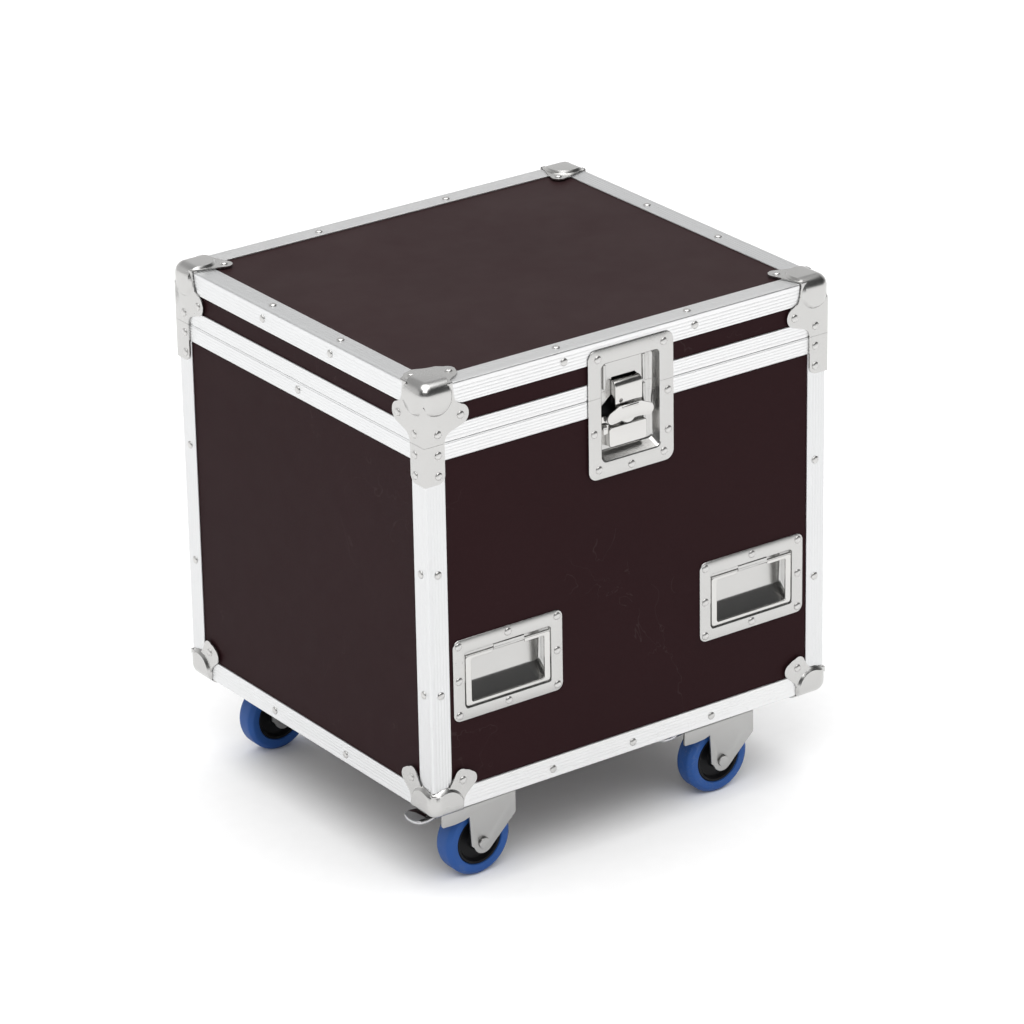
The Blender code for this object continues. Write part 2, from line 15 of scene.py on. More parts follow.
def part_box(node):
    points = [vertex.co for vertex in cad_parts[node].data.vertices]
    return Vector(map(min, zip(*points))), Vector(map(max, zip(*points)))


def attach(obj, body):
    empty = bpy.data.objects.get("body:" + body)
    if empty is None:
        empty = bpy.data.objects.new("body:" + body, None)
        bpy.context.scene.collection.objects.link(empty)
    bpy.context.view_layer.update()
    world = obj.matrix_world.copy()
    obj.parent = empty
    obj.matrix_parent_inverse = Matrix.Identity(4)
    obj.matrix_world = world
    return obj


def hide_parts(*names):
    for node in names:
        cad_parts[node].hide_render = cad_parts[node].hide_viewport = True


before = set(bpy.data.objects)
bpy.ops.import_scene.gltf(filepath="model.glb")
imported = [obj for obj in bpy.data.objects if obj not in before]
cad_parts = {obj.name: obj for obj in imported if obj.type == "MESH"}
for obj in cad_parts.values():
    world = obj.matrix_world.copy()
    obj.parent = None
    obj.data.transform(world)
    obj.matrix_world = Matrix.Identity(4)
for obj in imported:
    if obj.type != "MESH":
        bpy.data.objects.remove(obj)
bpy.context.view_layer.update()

left, front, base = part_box("bottom_edge_frame")[0]
right, rear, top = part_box("top_edge_frame")[1]
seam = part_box("base_closing_frame")[1].z + 0.00015
print(f"body {right - left:.3f} x {rear - front:.3f} x {top - base:.3f} m, seam at {seam:.3f} m")

# %% [markdown]
# ## Camera
# A long lens from far away keeps the case's edges almost parallel. The camera is placed by the
# angles it looks from, so its place follows from three readable numbers and a distance.

# %% Camera
AZIMUTH, ELEVATION, ROLL = (math.radians(angle) for angle in (-35.439, 23.418, -1.027))
DISTANCE = 6.80
AIM = Vector((0.0, -0.020, 0.3764))

camera_data = bpy.data.cameras.new("camera")
camera_data.lens = 179.3
camera = bpy.data.objects.new("camera", camera_data)
bpy.context.scene.collection.objects.link(camera)
back = Vector((
    math.sin(AZIMUTH) * math.cos(ELEVATION),
    -math.cos(AZIMUTH) * math.cos(ELEVATION),
    math.sin(ELEVATION),
))
turn = back.to_track_quat("Z", "Y").to_matrix().to_4x4()
camera.matrix_world = Matrix.Translation(AIM + back * DISTANCE) @ turn @ Matrix.Rotation(ROLL, 4, "Z")
bpy.context.scene.camera = camera
bpy.context.scene.view_settings.view_transform = "Standard"
print("camera at", [round(v, 3) for v in camera.location])

# %% [markdown]
# ## Studio
# The case stands on a white sweep. Bare metal shows only what it mirrors, so the room around it
# matters more than the lamps: a bright floor and walls make the profiles white, a dim belt above
# them draws the dark bands in the pressed dishes and domes, and one wide lamp overhead gives the
# round highlight. The belt is drawn in the world, by height.

# %% Studio
LAMP = 4.2                 # level of the overhead lamp, where paper white is 1
WINDOW = 50.0              # watts of the soft light at the front left
FLOOR_HALF = 30


def link(tree, source, target):
    tree.links.new(source, target)


def ramp(tree, factor, stops):
    """Grey level that follows a factor through (position, level) stops."""
    node = tree.nodes.new("ShaderNodeValToRGB")
    elements = node.color_ramp.elements
    while len(elements) < len(stops):
        elements.new(0.5)
    for element, (position, level) in zip(elements, stops):
        element.position = position
        element.color = (level, level, level, 1)
    link(tree, factor, node.inputs[0])
    return node.outputs[0]


def span(tree, value, low, high):
    """Where a value lies between low and high, from 0 to 1."""
    node = tree.nodes.new("ShaderNodeMapRange")
    node.inputs["From Min"].default_value = low
    node.inputs["From Max"].default_value = high
    link(tree, value, node.inputs["Value"])
    return node.outputs[0]


def blend(tree, factor, under, over):
    """Colour that goes from under to over; both are sockets or (r, g, b)."""
    node = tree.nodes.new("ShaderNodeMix")
    node.data_type = "RGBA"
    link(tree, factor, node.inputs["Factor"])
    for slot, value in (("A", under), ("B", over)):
        if isinstance(value, tuple):
            node.inputs[slot].default_value = (*value, 1)
        else:
            link(tree, value, node.inputs[slot])
    return node.outputs["Result"]


def make_world():
    world = bpy.data.worlds.new("studio")
    world.use_nodes = True
    tree = world.node_tree
    split = tree.nodes.new("ShaderNodeSeparateXYZ")
    link(tree, tree.nodes.new("ShaderNodeTexCoord").outputs["Generated"], split.inputs[0])
    height = span(tree, split.outputs["Z"], -1.0, 1.0)
    towards_room = span(tree, split.outputs["Y"], 0.25, -0.15)
    backdrop = ramp(tree, height, [(0.0, 0.90), (0.70, 0.86), (0.80, 0.42), (0.90, 0.50), (0.955, 1.0)])
    room = ramp(tree, height, [(0.0, 0.90), (0.50, 0.80), (0.56, 0.10), (0.88, 0.05), (0.94, 1.0)])
    lamp = ramp(tree, height, [(0.93, 0.0), (0.965, 1.0)])
    soft = ramp(tree, height, [(0.0, 0.90), (0.50, 0.78), (0.80, 0.80), (0.95, 2.0)])
    lit = blend(tree, lamp, blend(tree, towards_room, backdrop, room), (LAMP, LAMP, LAMP))
    ray = tree.nodes.new("ShaderNodeLightPath").outputs
    filled = blend(tree, ray["Is Diffuse Ray"], lit, soft)
    seen = blend(tree, ray["Is Camera Ray"], filled, (1, 1, 1))
    link(tree, seen, tree.nodes["Background"].inputs["Color"])
    bpy.context.scene.world = world


def make_window():
    window_data = bpy.data.lights.new("window", "AREA")
    window_data.shape = "RECTANGLE"
    window_data.size, window_data.size_y = 3.0, 2.0
    window_data.energy = WINDOW
    window = bpy.data.objects.new("window", window_data)
    window.location = (-2.2, -2.6, 4.2)
    window.rotation_mode = "QUATERNION"
    window.rotation_quaternion = (window.location - AIM).to_track_quat("Z", "Y")
    bpy.context.scene.collection.objects.link(window)


def make_floor():
    material = bpy.data.materials.new("floor_paper")
    material.use_nodes = True
    tree = material.node_tree
    shader = tree.nodes["Principled BSDF"]
    shader.inputs["Roughness"].default_value = 0.9
    shader.inputs["Specular IOR Level"].default_value = 0.1
    place = tree.nodes.new("ShaderNodeTexCoord")
    fibres = tree.nodes.new("ShaderNodeTexNoise")
    fibres.inputs["Scale"].default_value = 40
    link(tree, place.outputs["Object"], fibres.inputs["Vector"])
    tone = ramp(tree, fibres.outputs[0], [(0.0, 0.90), (1.0, 0.93)])
    link(tree, tone, shader.inputs["Base Color"])
    shape = bmesh.new()
    bmesh.ops.create_grid(shape, x_segments=2, y_segments=2, size=FLOOR_HALF)
    mesh = bpy.data.meshes.new("floor")
    shape.to_mesh(mesh)
    shape.free()
    mesh.materials.append(material)
    floor = bpy.data.objects.new("floor", mesh)
    bpy.context.scene.collection.objects.link(floor)


make_world()
make_window()
make_floor()

# %% [markdown]
# ## Effects that several finishes share
# Real surfaces are never quite even. Four small node groups give that: a cloudy tone, a drawn grain
# that runs one way, wispy rub marks, and dust that lies on what faces up. Each is built once, and
# every finish sets its own amounts.

# %% Shared effects
def new_group(name, numbers, results):
    """Shader group from float inputs (name: default) and output names; returns tree, inputs, outputs."""
    tree = bpy.data.node_groups.new(name, "ShaderNodeTree")
    for label, value in numbers.items():
        socket = tree.interface.new_socket(name=label, in_out="INPUT", socket_type="NodeSocketFloat")
        socket.default_value = value
    for label in results:
        tree.interface.new_socket(name=label, in_out="OUTPUT", socket_type="NodeSocketFloat")
    return tree, tree.nodes.new("NodeGroupInput").outputs, tree.nodes.new("NodeGroupOutput").inputs


def arithmetic(tree, operation, a, b):
    """Math node whose two inputs are sockets or numbers; returns its output."""
    node = tree.nodes.new("ShaderNodeMath")
    node.operation = operation
    for slot, value in enumerate((a, b)):
        if isinstance(value, (int, float)):
            node.inputs[slot].default_value = value
        else:
            link(tree, value, node.inputs[slot])
    return node.outputs[0]


def object_place(tree):
    return tree.nodes.new("ShaderNodeTexCoord").outputs["Object"]


def noise(tree, vector, scale, detail=2.0, distortion=0.0):
    node = tree.nodes.new("ShaderNodeTexNoise")
    node.inputs["Detail"].default_value = detail
    node.inputs["Distortion"].default_value = distortion
    link(tree, vector, node.inputs["Vector"])
    if isinstance(scale, (int, float)):
        node.inputs["Scale"].default_value = scale
    else:
        link(tree, scale, node.inputs["Scale"])
    return node.outputs[0]


def build_cloud():
    """Soft variation around zero, from -Amount to Amount."""
    tree, numbers, results = new_group("cloudy_tone", {"Scale": 8.0, "Amount": 0.1}, ["Value"])
    spread = arithmetic(tree, "SUBTRACT", noise(tree, object_place(tree), numbers["Scale"], 5.0), 0.5)
    link(tree, arithmetic(tree, "MULTIPLY", spread, arithmetic(tree, "MULTIPLY", numbers["Amount"], 2.0)),
         results["Value"])
    return tree


def build_grain():
    """Drawn grain: noise squeezed across the run. Along X, Y and Z are how fast it changes on each axis."""
    tree, numbers, results = new_group("drawn_grain", {"X": 900.0, "Y": 900.0, "Z": 20.0}, ["Height"])
    stretch = tree.nodes.new("ShaderNodeCombineXYZ")
    for axis in "XYZ":
        link(tree, numbers[axis], stretch.inputs[axis])
    scaled = tree.nodes.new("ShaderNodeVectorMath")
    scaled.operation = "MULTIPLY"
    link(tree, object_place(tree), scaled.inputs[0])
    link(tree, stretch.outputs[0], scaled.inputs[1])
    link(tree, noise(tree, scaled.outputs[0], 1.0, 3.0), results["Height"])
    return tree


def build_rubs():
    """Thin wispy rub marks: the places where a distorted noise crosses its middle."""
    tree, numbers, results = new_group("rub_marks", {"Scale": 14.0, "Width": 0.012, "Cover": 0.55}, ["Mask"])
    place = object_place(tree)
    lines = arithmetic(tree, "ABSOLUTE",
                       arithmetic(tree, "SUBTRACT", noise(tree, place, numbers["Scale"], 3.0, 1.5), 0.5), 0)
    thin = arithmetic(tree, "LESS_THAN", lines, numbers["Width"])
    patches = arithmetic(tree, "GREATER_THAN", noise(tree, place, 5.0, 2.0), numbers["Cover"])
    link(tree, arithmetic(tree, "MULTIPLY", thin, patches), results["Mask"])
    return tree


def build_dust():
    """A thin film on surfaces that face up, broken up by noise."""
    tree, numbers, results = new_group("settled_dust", {"Amount": 0.2}, ["Mask"])
    facing = tree.nodes.new("ShaderNodeSeparateXYZ")
    link(tree, tree.nodes.new("ShaderNodeNewGeometry").outputs["Normal"], facing.inputs[0])
    up = arithmetic(tree, "MAXIMUM", facing.outputs["Z"], 0.0)
    broken = arithmetic(tree, "MULTIPLY", up, noise(tree, object_place(tree), 9.0, 6.0))
    link(tree, arithmetic(tree, "MULTIPLY", broken, numbers["Amount"]), results["Mask"])
    return tree


CLOUD, GRAIN, RUBS, DUST = build_cloud(), build_grain(), build_rubs(), build_dust()
print("shared effects:", [group.name for group in (CLOUD, GRAIN, RUBS, DUST)])


def effect(tree, group, **amounts):
    """Place a shared effect in a material with its own amounts; returns its first output."""
    node = tree.nodes.new("ShaderNodeGroup")
    node.node_tree = group
    for label, value in amounts.items():
        node.inputs[label].default_value = value
    return node.outputs[0]


def tinted(tree, colour, shift):
    """A colour made lighter and darker by a value around zero."""
    darker, lighter = tuple(c * 0.6 for c in colour), tuple(min(1.0, c * 1.4) for c in colour)
    return blend(tree, arithmetic(tree, "ADD", shift, 0.5), darker, lighter)


def bumped(tree, height, distance, strength=1.0):
    node = tree.nodes.new("ShaderNodeBump")
    node.inputs["Distance"].default_value = distance
    node.inputs["Strength"].default_value = strength
    link(tree, height, node.inputs["Height"])
    return node.outputs[0]


def new_finish(name):
    material = bpy.data.materials.new(name)
    material.use_nodes = True
    return material, material.node_tree, material.node_tree.nodes["Principled BSDF"]

# %% [markdown]
# ## Finishes
# The panels are plywood faced with a dark brown phenolic film: hard, satin, with a faint
# orange-peel and pale rub marks. The profiles are anodised aluminium with a drawn grain along their
# length, so there is one finish for each direction. Each has its own grey level, which is painted
# shade: the lengths that run one way are made lighter or darker to stand in for the light their faces
# get in this studio. Corners, latch and handles are nickel-plated steel, smooth and a little warm. The
# casters are zinc-plated steel, blue rubber and black nylon.

# %% Finishes
def worn(name, colour, clouds, gloss, skin, rubs=None, dust=None, metallic=0.0, specular=0.5):
    """A cloudy tone with rub marks and dust, an uneven gloss and a fine relief.

    clouds: (scale, amount) pairs. gloss: scale, amount, level. skin: scale, detail, depth.
    rubs: scale, width, cover, strength, loss of gloss, colour. dust: amount, colour.
    """
    material, tree, shader = new_finish(name)
    shader.inputs["Metallic"].default_value = metallic
    shader.inputs["Specular IOR Level"].default_value = specular
    shade = effect(tree, CLOUD, Scale=clouds[0][0], Amount=clouds[0][1])
    for scale, amount in clouds[1:]:
        shade = arithmetic(tree, "ADD", shade, effect(tree, CLOUD, Scale=scale, Amount=amount))
    tone = tinted(tree, colour, shade)
    scale, amount, level = gloss
    rough = arithmetic(tree, "ADD", effect(tree, CLOUD, Scale=scale, Amount=amount), level)
    if rubs:
        scale, width, cover, strength, loss, mark = rubs
        mask = effect(tree, RUBS, Scale=scale, Width=width, Cover=cover)
        tone = blend(tree, arithmetic(tree, "MULTIPLY", mask, strength), tone, mark)
        rough = arithmetic(tree, "ADD", rough, arithmetic(tree, "MULTIPLY", mask, loss))
    if dust:
        tone = blend(tree, effect(tree, DUST, Amount=dust[0]), tone, dust[1])
    link(tree, tone, shader.inputs["Base Color"])
    link(tree, rough, shader.inputs["Roughness"])
    scale, detail, depth = skin
    relief = noise(tree, object_place(tree), scale, detail)
    link(tree, bumped(tree, relief, depth), shader.inputs["Normal"])
    return material


def anodised_aluminium_painted_shade(run, level):
    material, tree, shader = new_finish(f"aluminium_painted_shade_along_{run}")
    shader.inputs["Metallic"].default_value = 1.0
    speeds = {axis: 15.0 if axis.lower() == run else 1400.0 for axis in "XYZ"}
    grain = effect(tree, GRAIN, **speeds)
    shade = arithmetic(tree, "ADD", effect(tree, CLOUD, Scale=5.0, Amount=0.04),
                       arithmetic(tree, "MULTIPLY", grain, 0.10))
    # The level here is painted shade, set for each run to stand in for the light on those faces.
    colour = tinted(tree, (level, level * 1.006, level * 1.012), arithmetic(tree, "SUBTRACT", shade, 0.05))
    rubs = effect(tree, RUBS, Scale=22.0, Width=0.006, Cover=0.52)
    colour = blend(tree, arithmetic(tree, "MULTIPLY", rubs, 0.25), colour, (0.62, 0.62, 0.62))
    link(tree, colour, shader.inputs["Base Color"])
    gloss = arithmetic(tree, "ADD", arithmetic(tree, "MULTIPLY", grain, 0.14), 0.30)
    link(tree, gloss, shader.inputs["Roughness"])
    link(tree, bumped(tree, grain, 0.00004), shader.inputs["Normal"])
    return material


def plated_steel(name, colour, roughness):
    return worn(name, colour, [(12.0, 0.03)], gloss=(40.0, 0.03, roughness), skin=(90.0, 1.0, 0.00002),
                rubs=(24.0, 0.004, 0.60, 0.06, 0.10, (0.40, 0.39, 0.38)), metallic=1.0)


FILM = worn("phenolic_film", (0.0190, 0.0070, 0.0082), [(6.0, 0.10), (420.0, 0.20)],
            gloss=(30.0, 0.05, 0.46), skin=(700.0, 3.0, 0.00012),
            rubs=(9.0, 0.0035, 0.60, 0.05, 0.08, (0.20, 0.17, 0.16)),
            dust=(0.038, (0.30, 0.27, 0.25)), specular=0.04)
# Painted shade: each run's grey level stands in for how brightly the studio lights the faces of the lengths
# that run that way; on the real case they are one metal.
PAINTED_SHADE_LEVELS = {"x": 0.81, "y": 0.69, "z": 0.66}
SHADED_ALUMINIUM = {run: anodised_aluminium_painted_shade(run, level) for run, level in PAINTED_SHADE_LEVELS.items()}
NICKEL = plated_steel("nickel_plate", (0.515, 0.511, 0.502), 0.25)
BRIGHT_NICKEL = plated_steel("bright_nickel_plate", (0.580, 0.573, 0.560), 0.20)
RIVET_NICKEL = plated_steel("rivet_nickel_plate", (0.560, 0.555, 0.545), 0.33)
ZINC = plated_steel("zinc_plate", (0.420, 0.418, 0.412), 0.34)
CHROME = plated_steel("pedal_chrome", (0.500, 0.500, 0.510), 0.10)
# Near-black painted shade: it colours the box behind the latch's openings, where the real case has only a
# dark hollow.
PAINTED_SHADE_BLACK = plated_steel("painted_shade_black", (0.030, 0.030, 0.032), 0.55)
RUBBER = worn("tyre_rubber", (0.012, 0.070, 0.265), [(30.0, 0.12)],
              gloss=(90.0, 0.10, 0.50), skin=(900.0, 3.0, 0.00010),
              rubs=(60.0, 0.02, 0.50, 0.20, 0.0, (0.10, 0.14, 0.22)),
              dust=(0.06, (0.35, 0.36, 0.38)), specular=0.30)
NYLON = worn("moulded_nylon", (0.006, 0.006, 0.007), [(50.0, 0.20)],
             gloss=(200.0, 0.10, 0.42), skin=(1100.0, 3.0, 0.00012),
             dust=(0.02, (0.30, 0.30, 0.30)), specular=0.15)
print("finishes:", len(bpy.data.materials) - 1)

# %% [markdown]
# ## Helpers for shapes
# Every piece starts as a bmesh in the case's own coordinates, so its object can sit at the origin.
# The helpers cover what the pieces share: a block, an outline pushed through a thickness, a turned
# ring, and one solid carved by another.

# %% Shape helpers
SAME_POINT = 0.000008      # points closer than this become one


def finished(name, shape, body, material, replaces=(), sharp=35):
    """Turn a bmesh into a finished piece that rides on a body."""
    bmesh.ops.remove_doubles(shape, verts=shape.verts, dist=SAME_POINT)
    bmesh.ops.recalc_face_normals(shape, faces=shape.faces)
    mesh = bpy.data.meshes.new(name)
    shape.to_mesh(mesh)
    shape.free()
    mesh.materials.append(material)
    mesh.shade_smooth()
    mesh.set_sharp_from_angle(angle=math.radians(sharp))
    thing = bpy.data.objects.new(name, mesh)
    bpy.context.scene.collection.objects.link(thing)
    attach(thing, body)
    if replaces:
        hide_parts(*replaces)
    return thing


def carve(shape, tool, operation="DIFFERENCE"):
    """Boolean of two bmeshes, which are used up, as a new bmesh."""
    pair = []
    for part in (shape, tool):
        bmesh.ops.recalc_face_normals(part, faces=part.faces)
        mesh = bpy.data.meshes.new("blank")
        part.to_mesh(mesh)
        part.free()
        thing = bpy.data.objects.new("blank", mesh)
        bpy.context.scene.collection.objects.link(thing)
        pair.append(thing)
    cut = pair[0].modifiers.new("cut", "BOOLEAN")
    cut.operation = operation
    cut.solver = "MANIFOLD"
    cut.object = pair[1]
    evaluated = pair[0].evaluated_get(bpy.context.evaluated_depsgraph_get())
    result = bmesh.new()
    result.from_mesh(evaluated.to_mesh())
    evaluated.to_mesh_clear()
    for thing in pair:
        mesh = thing.data
        bpy.data.objects.remove(thing)
        bpy.data.meshes.remove(mesh)
    return result


def joined(*shapes):
    """Put several bmeshes in one without cutting them."""
    whole = bmesh.new()
    for shape in shapes:
        mesh = bpy.data.meshes.new("blank")
        shape.to_mesh(mesh)
        shape.free()
        whole.from_mesh(mesh)
        bpy.data.meshes.remove(mesh)
    return whole


def block(low, high, bevel=0.0, segments=2):
    """Box between two corners, with rounded edges if bevel is given."""
    shape = bmesh.new()
    bmesh.ops.create_cube(shape, size=1.0)
    low, high = Vector(low), Vector(high)
    place = Matrix.Translation((low + high) / 2) @ Matrix.Diagonal((*(high - low), 1.0))
    bmesh.ops.transform(shape, verts=shape.verts, matrix=place)
    if bevel:
        bmesh.ops.bevel(shape, geom=shape.edges[:], offset=bevel, segments=segments, profile=0.5,
                        affect="EDGES", material=-1, clamp_overlap=True)
    return shape


def ball(centre, radius, segments):
    shape = bmesh.new()
    bmesh.ops.create_uvsphere(shape, u_segments=segments, v_segments=segments // 2, radius=radius,
                              matrix=Matrix.Translation(centre))
    return shape


def arc(centre, radius, start, end, steps):
    """Points on an arc between two angles in degrees."""
    angles = [math.radians(start + (end - start) * i / steps) for i in range(steps + 1)]
    return [(centre[0] + radius * math.cos(a), centre[1] + radius * math.sin(a)) for a in angles]


def rounded(low, high, radius, steps=5):
    """Outline of a rectangle with round corners."""
    (u0, v0), (u1, v1) = low, high
    corners = ((u1 - radius, v1 - radius, 0), (u0 + radius, v1 - radius, 90),
               (u0 + radius, v0 + radius, 180), (u1 - radius, v0 + radius, 270))
    return [point for u, v, start in corners for point in arc((u, v), radius, start, start + 90, steps)]


PLACES = {
    "x": lambda u, v, w: Vector((w, u, v)),
    "y": lambda u, v, w: Vector((u, w, v)),
    "z": lambda u, v, w: Vector((u, v, w)),
}


def softened(shape, radius, segments=3, angle=50):
    """Round every edge that is sharper than an angle."""
    rims = [e for e in shape.edges if e.calc_face_angle(0) > math.radians(angle)]
    bmesh.ops.bevel(shape, geom=rims, offset=radius, segments=segments, profile=0.5,
                    affect="EDGES", material=-1, clamp_overlap=True)
    return shape


def slab(outline, low, high, axis, bevel=0.0, segments=2):
    """Outline pushed from low to high along an axis; its pairs are the other two coordinates in order."""
    shape = bmesh.new()
    face = shape.faces.new([shape.verts.new(PLACES[axis](u, v, low)) for u, v in outline])
    grown = bmesh.ops.extrude_face_region(shape, geom=[face])["geom"]
    verts = [item for item in grown if isinstance(item, bmesh.types.BMVert)]
    bmesh.ops.translate(shape, verts=verts, vec=PLACES[axis](0, 0, high - low))
    bmesh.ops.recalc_face_normals(shape, faces=shape.faces)
    if bevel:
        softened(shape, bevel, segments, 60)
    return shape


def turned(profile, centre, axis, steps):
    """Spin (radius, along) points about an axis through centre; ends that lie on the axis are closed."""
    tilt = {"x": Matrix.Rotation(math.pi / 2, 4, "Y"), "y": Matrix.Rotation(-math.pi / 2, 4, "X"),
            "z": Matrix()}[axis]
    shape = bmesh.new()
    verts = [shape.verts.new((r, 0, t)) for r, t in profile]
    edges = [shape.edges.new(pair) for pair in zip(verts, verts[1:])]
    bmesh.ops.spin(shape, geom=verts + edges, cent=(0, 0, 0), axis=(0, 0, 1), angle=math.tau, steps=steps,
                   use_merge=True, use_duplicate=False)
    bmesh.ops.remove_doubles(shape, verts=shape.verts, dist=SAME_POINT)
    bmesh.ops.transform(shape, verts=shape.verts, matrix=Matrix.Translation(centre) @ tilt)
    bmesh.ops.recalc_face_normals(shape, faces=shape.faces)
    return shape


def loops_to_surface(sections, axis="y"):
    """Skin through outlines of equal length, each with its place along the axis; the last is filled."""
    shape = bmesh.new()
    outline, at = sections[0]
    verts = [shape.verts.new(PLACES[axis](u, v, at)) for u, v in outline]
    edges = [shape.edges.new((verts[i - 1], verts[i])) for i in range(len(verts))]
    for outline, at in sections[1:]:
        grown = bmesh.ops.extrude_edge_only(shape, edges=edges)["geom"]
        fresh = {item for item in grown if isinstance(item, bmesh.types.BMVert)}
        verts = [next(e.other_vert(v) for e in v.link_edges if e.other_vert(v) in fresh) for v in verts]
        for vert, (u, v) in zip(verts, outline):
            vert.co = PLACES[axis](u, v, at)
        edges = [shape.edges.get((verts[i - 1], verts[i])) for i in range(len(verts))]
    bmesh.ops.contextual_create(shape, geom=edges)
    return shape


def with_wall(shape, thickness, inwards):
    """Give a skin a wall on the side that the inwards direction points to."""
    bmesh.ops.recalc_face_normals(shape, faces=shape.faces)
    facing = sum((face.normal * face.calc_area() for face in shape.faces), Vector())
    if facing.dot(Vector(inwards)) > 0:
        bmesh.ops.reverse_faces(shape, faces=shape.faces)
    bmesh.ops.solidify(shape, geom=shape.faces[:], thickness=thickness)
    return shape


CORNERS = [(sx, sy) for sx in (-1, 1) for sy in (-1, 1)]


def corner_name(side_x, side_y):
    return f"{'front' if side_y < 0 else 'rear'}_{'left' if side_x < 0 else 'right'}"


def at_corner(shape, side_x, side_y, upper):
    """Copy of a corner shape, drawn inwards from a corner at the origin, at one of the case's corners."""
    copy = shape.copy()
    flip = Matrix.Diagonal((-side_x, -side_y, -1 if upper else 1, 1))
    place = Matrix.Translation((side_x * right, side_y * rear, top if upper else base))
    bmesh.ops.transform(copy, verts=copy.verts, matrix=place @ flip)
    return copy

# %% [markdown]
# ## Panels
# The panels in the working model already have the right shape: flat boards with openings for the
# dishes. They only need the film's finish.

# %% Panels
panels = [node for name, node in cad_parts.items() if name.endswith("_panel")]
for node in panels:
    for slot in node.material_slots:
        slot.material = FILM
print("panels:", len(panels))

# %% [markdown]
# ## Edge profiles
# Each edge wears a length of L-shaped aluminium with fine grooves along both flanges and a rounded
# nose. A profile is one cross-section pushed along its length, so it is drawn once as an outline
# and extruded. The lengths stop short of the ball corners, as sawn lengths do.

# %% Edge profiles
FLANGE, SKIN = 0.030, 0.0018
NOSE = 0.0022
GROOVES = (0.0075, 0.0122, 0.0169, 0.0216, 0.0258)
GROOVE_HALF, GROOVE_DEPTH = 0.0009, 0.00022
END_ROOM = 0.0445          # between a length's end and the case's corner


def grooved(start, end, places):
    """Outer line of a flange from start to end (distance from the edge), as (distance, depth) points."""
    points = [(start, 0.0)]
    for at in places:
        points += [(at - GROOVE_HALF, 0.0), (at - GROOVE_HALF * 0.3, GROOVE_DEPTH),
                   (at + GROOVE_HALF * 0.3, GROOVE_DEPTH), (at + GROOVE_HALF, 0.0)]
    return points + [(end, 0.0)]


def edge_section():
    """L section as (a, b): a runs in along one face, b along the other."""
    along = grooved(NOSE, FLANGE - 0.0009, GROOVES)
    lip = [(FLANGE - 0.0003, 0.0003), (FLANGE, 0.0009), (FLANGE, SKIN)]
    nose = [(b, a) for a, b in arc((NOSE, NOSE), NOSE, 225, 270, 3)][::-1]
    half = [p for p in arc((NOSE, NOSE), NOSE, 225, 270, 4)][1:] + along[1:] + lip
    return [(b, a) for a, b in reversed(half)] + nose[-1:] + half + [(SKIN, SKIN)]


def pushed(section, start, run, along_a, along_b):
    """Push an (a, b) section through space: from a start point, along a run vector."""
    start, run, along_a, along_b = (Vector(v) for v in (start, run, along_a, along_b))
    shape = bmesh.new()
    face = shape.faces.new([shape.verts.new(start + a * along_a + b * along_b) for a, b in section])
    grown = bmesh.ops.extrude_face_region(shape, geom=[face])["geom"]
    verts = [item for item in grown if isinstance(item, bmesh.types.BMVert)]
    bmesh.ops.translate(shape, verts=verts, vec=run)
    return shape


def make_edge_lengths():
    section = edge_section()
    for level, height, inward in (("bottom", base, 1), ("top", top, -1)):
        body = "base" if level == "bottom" else "lid"
        length_x, length_y = right - left - 2 * END_ROOM, rear - front - 2 * END_ROOM
        for word, side in (("front", -1), ("rear", 1)):
            start = (left + END_ROOM, side * rear, height)
            shape = pushed(section, start, (length_x, 0, 0), (0, -side, 0), (0, 0, inward))
            finished(f"{level}_profile_{word}", shape, body, SHADED_ALUMINIUM["x"],
                     [f"{level}_edge_frame"])
        for word, side in (("left", -1), ("right", 1)):
            start = (side * right, front + END_ROOM, height)
            shape = pushed(section, start, (0, length_y, 0), (-side, 0, 0), (0, 0, inward))
            finished(f"{level}_profile_{word}", shape, body, SHADED_ALUMINIUM["y"],
                     [f"{level}_edge_frame"])
    low, high = base + 0.0340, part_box("corner_profile_front_left")[1].z
    for side_x, side_y in CORNERS:
        start = (side_x * right, side_y * rear, low)
        shape = pushed(section, start, (0, 0, high - low), (-side_x, 0, 0), (0, -side_y, 0))
        name = corner_name(side_x, side_y)
        finished(f"upright_{name}", shape, "base", SHADED_ALUMINIUM["z"], [f"corner_profile_{name}"])
    print("edge lengths: 8 level, 4 upright,", len(section), "points each")


make_edge_lengths()

# %% [markdown]
# ## Closing profiles
# Where base and lid meet, a pair of profiles closes the case like a drawer joint: a tongue on the
# lid drops into a groove in the base, so the halves can't slide apart. Each one is a single section
# again. The four lengths of a shell are cut at 45 degrees, so the joint is made by slicing each
# length's ends with a slanted plane.

# %% Closing profiles
REACH_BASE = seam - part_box("base_closing_frame")[0].z
REACH_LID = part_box("lid_closing_frame")[1].z - seam
INNER = 0.0132             # depth of a closing profile, from the outer face
WEB = 0.004
STOP = 0.00015             # half of the gap that the closed lid leaves


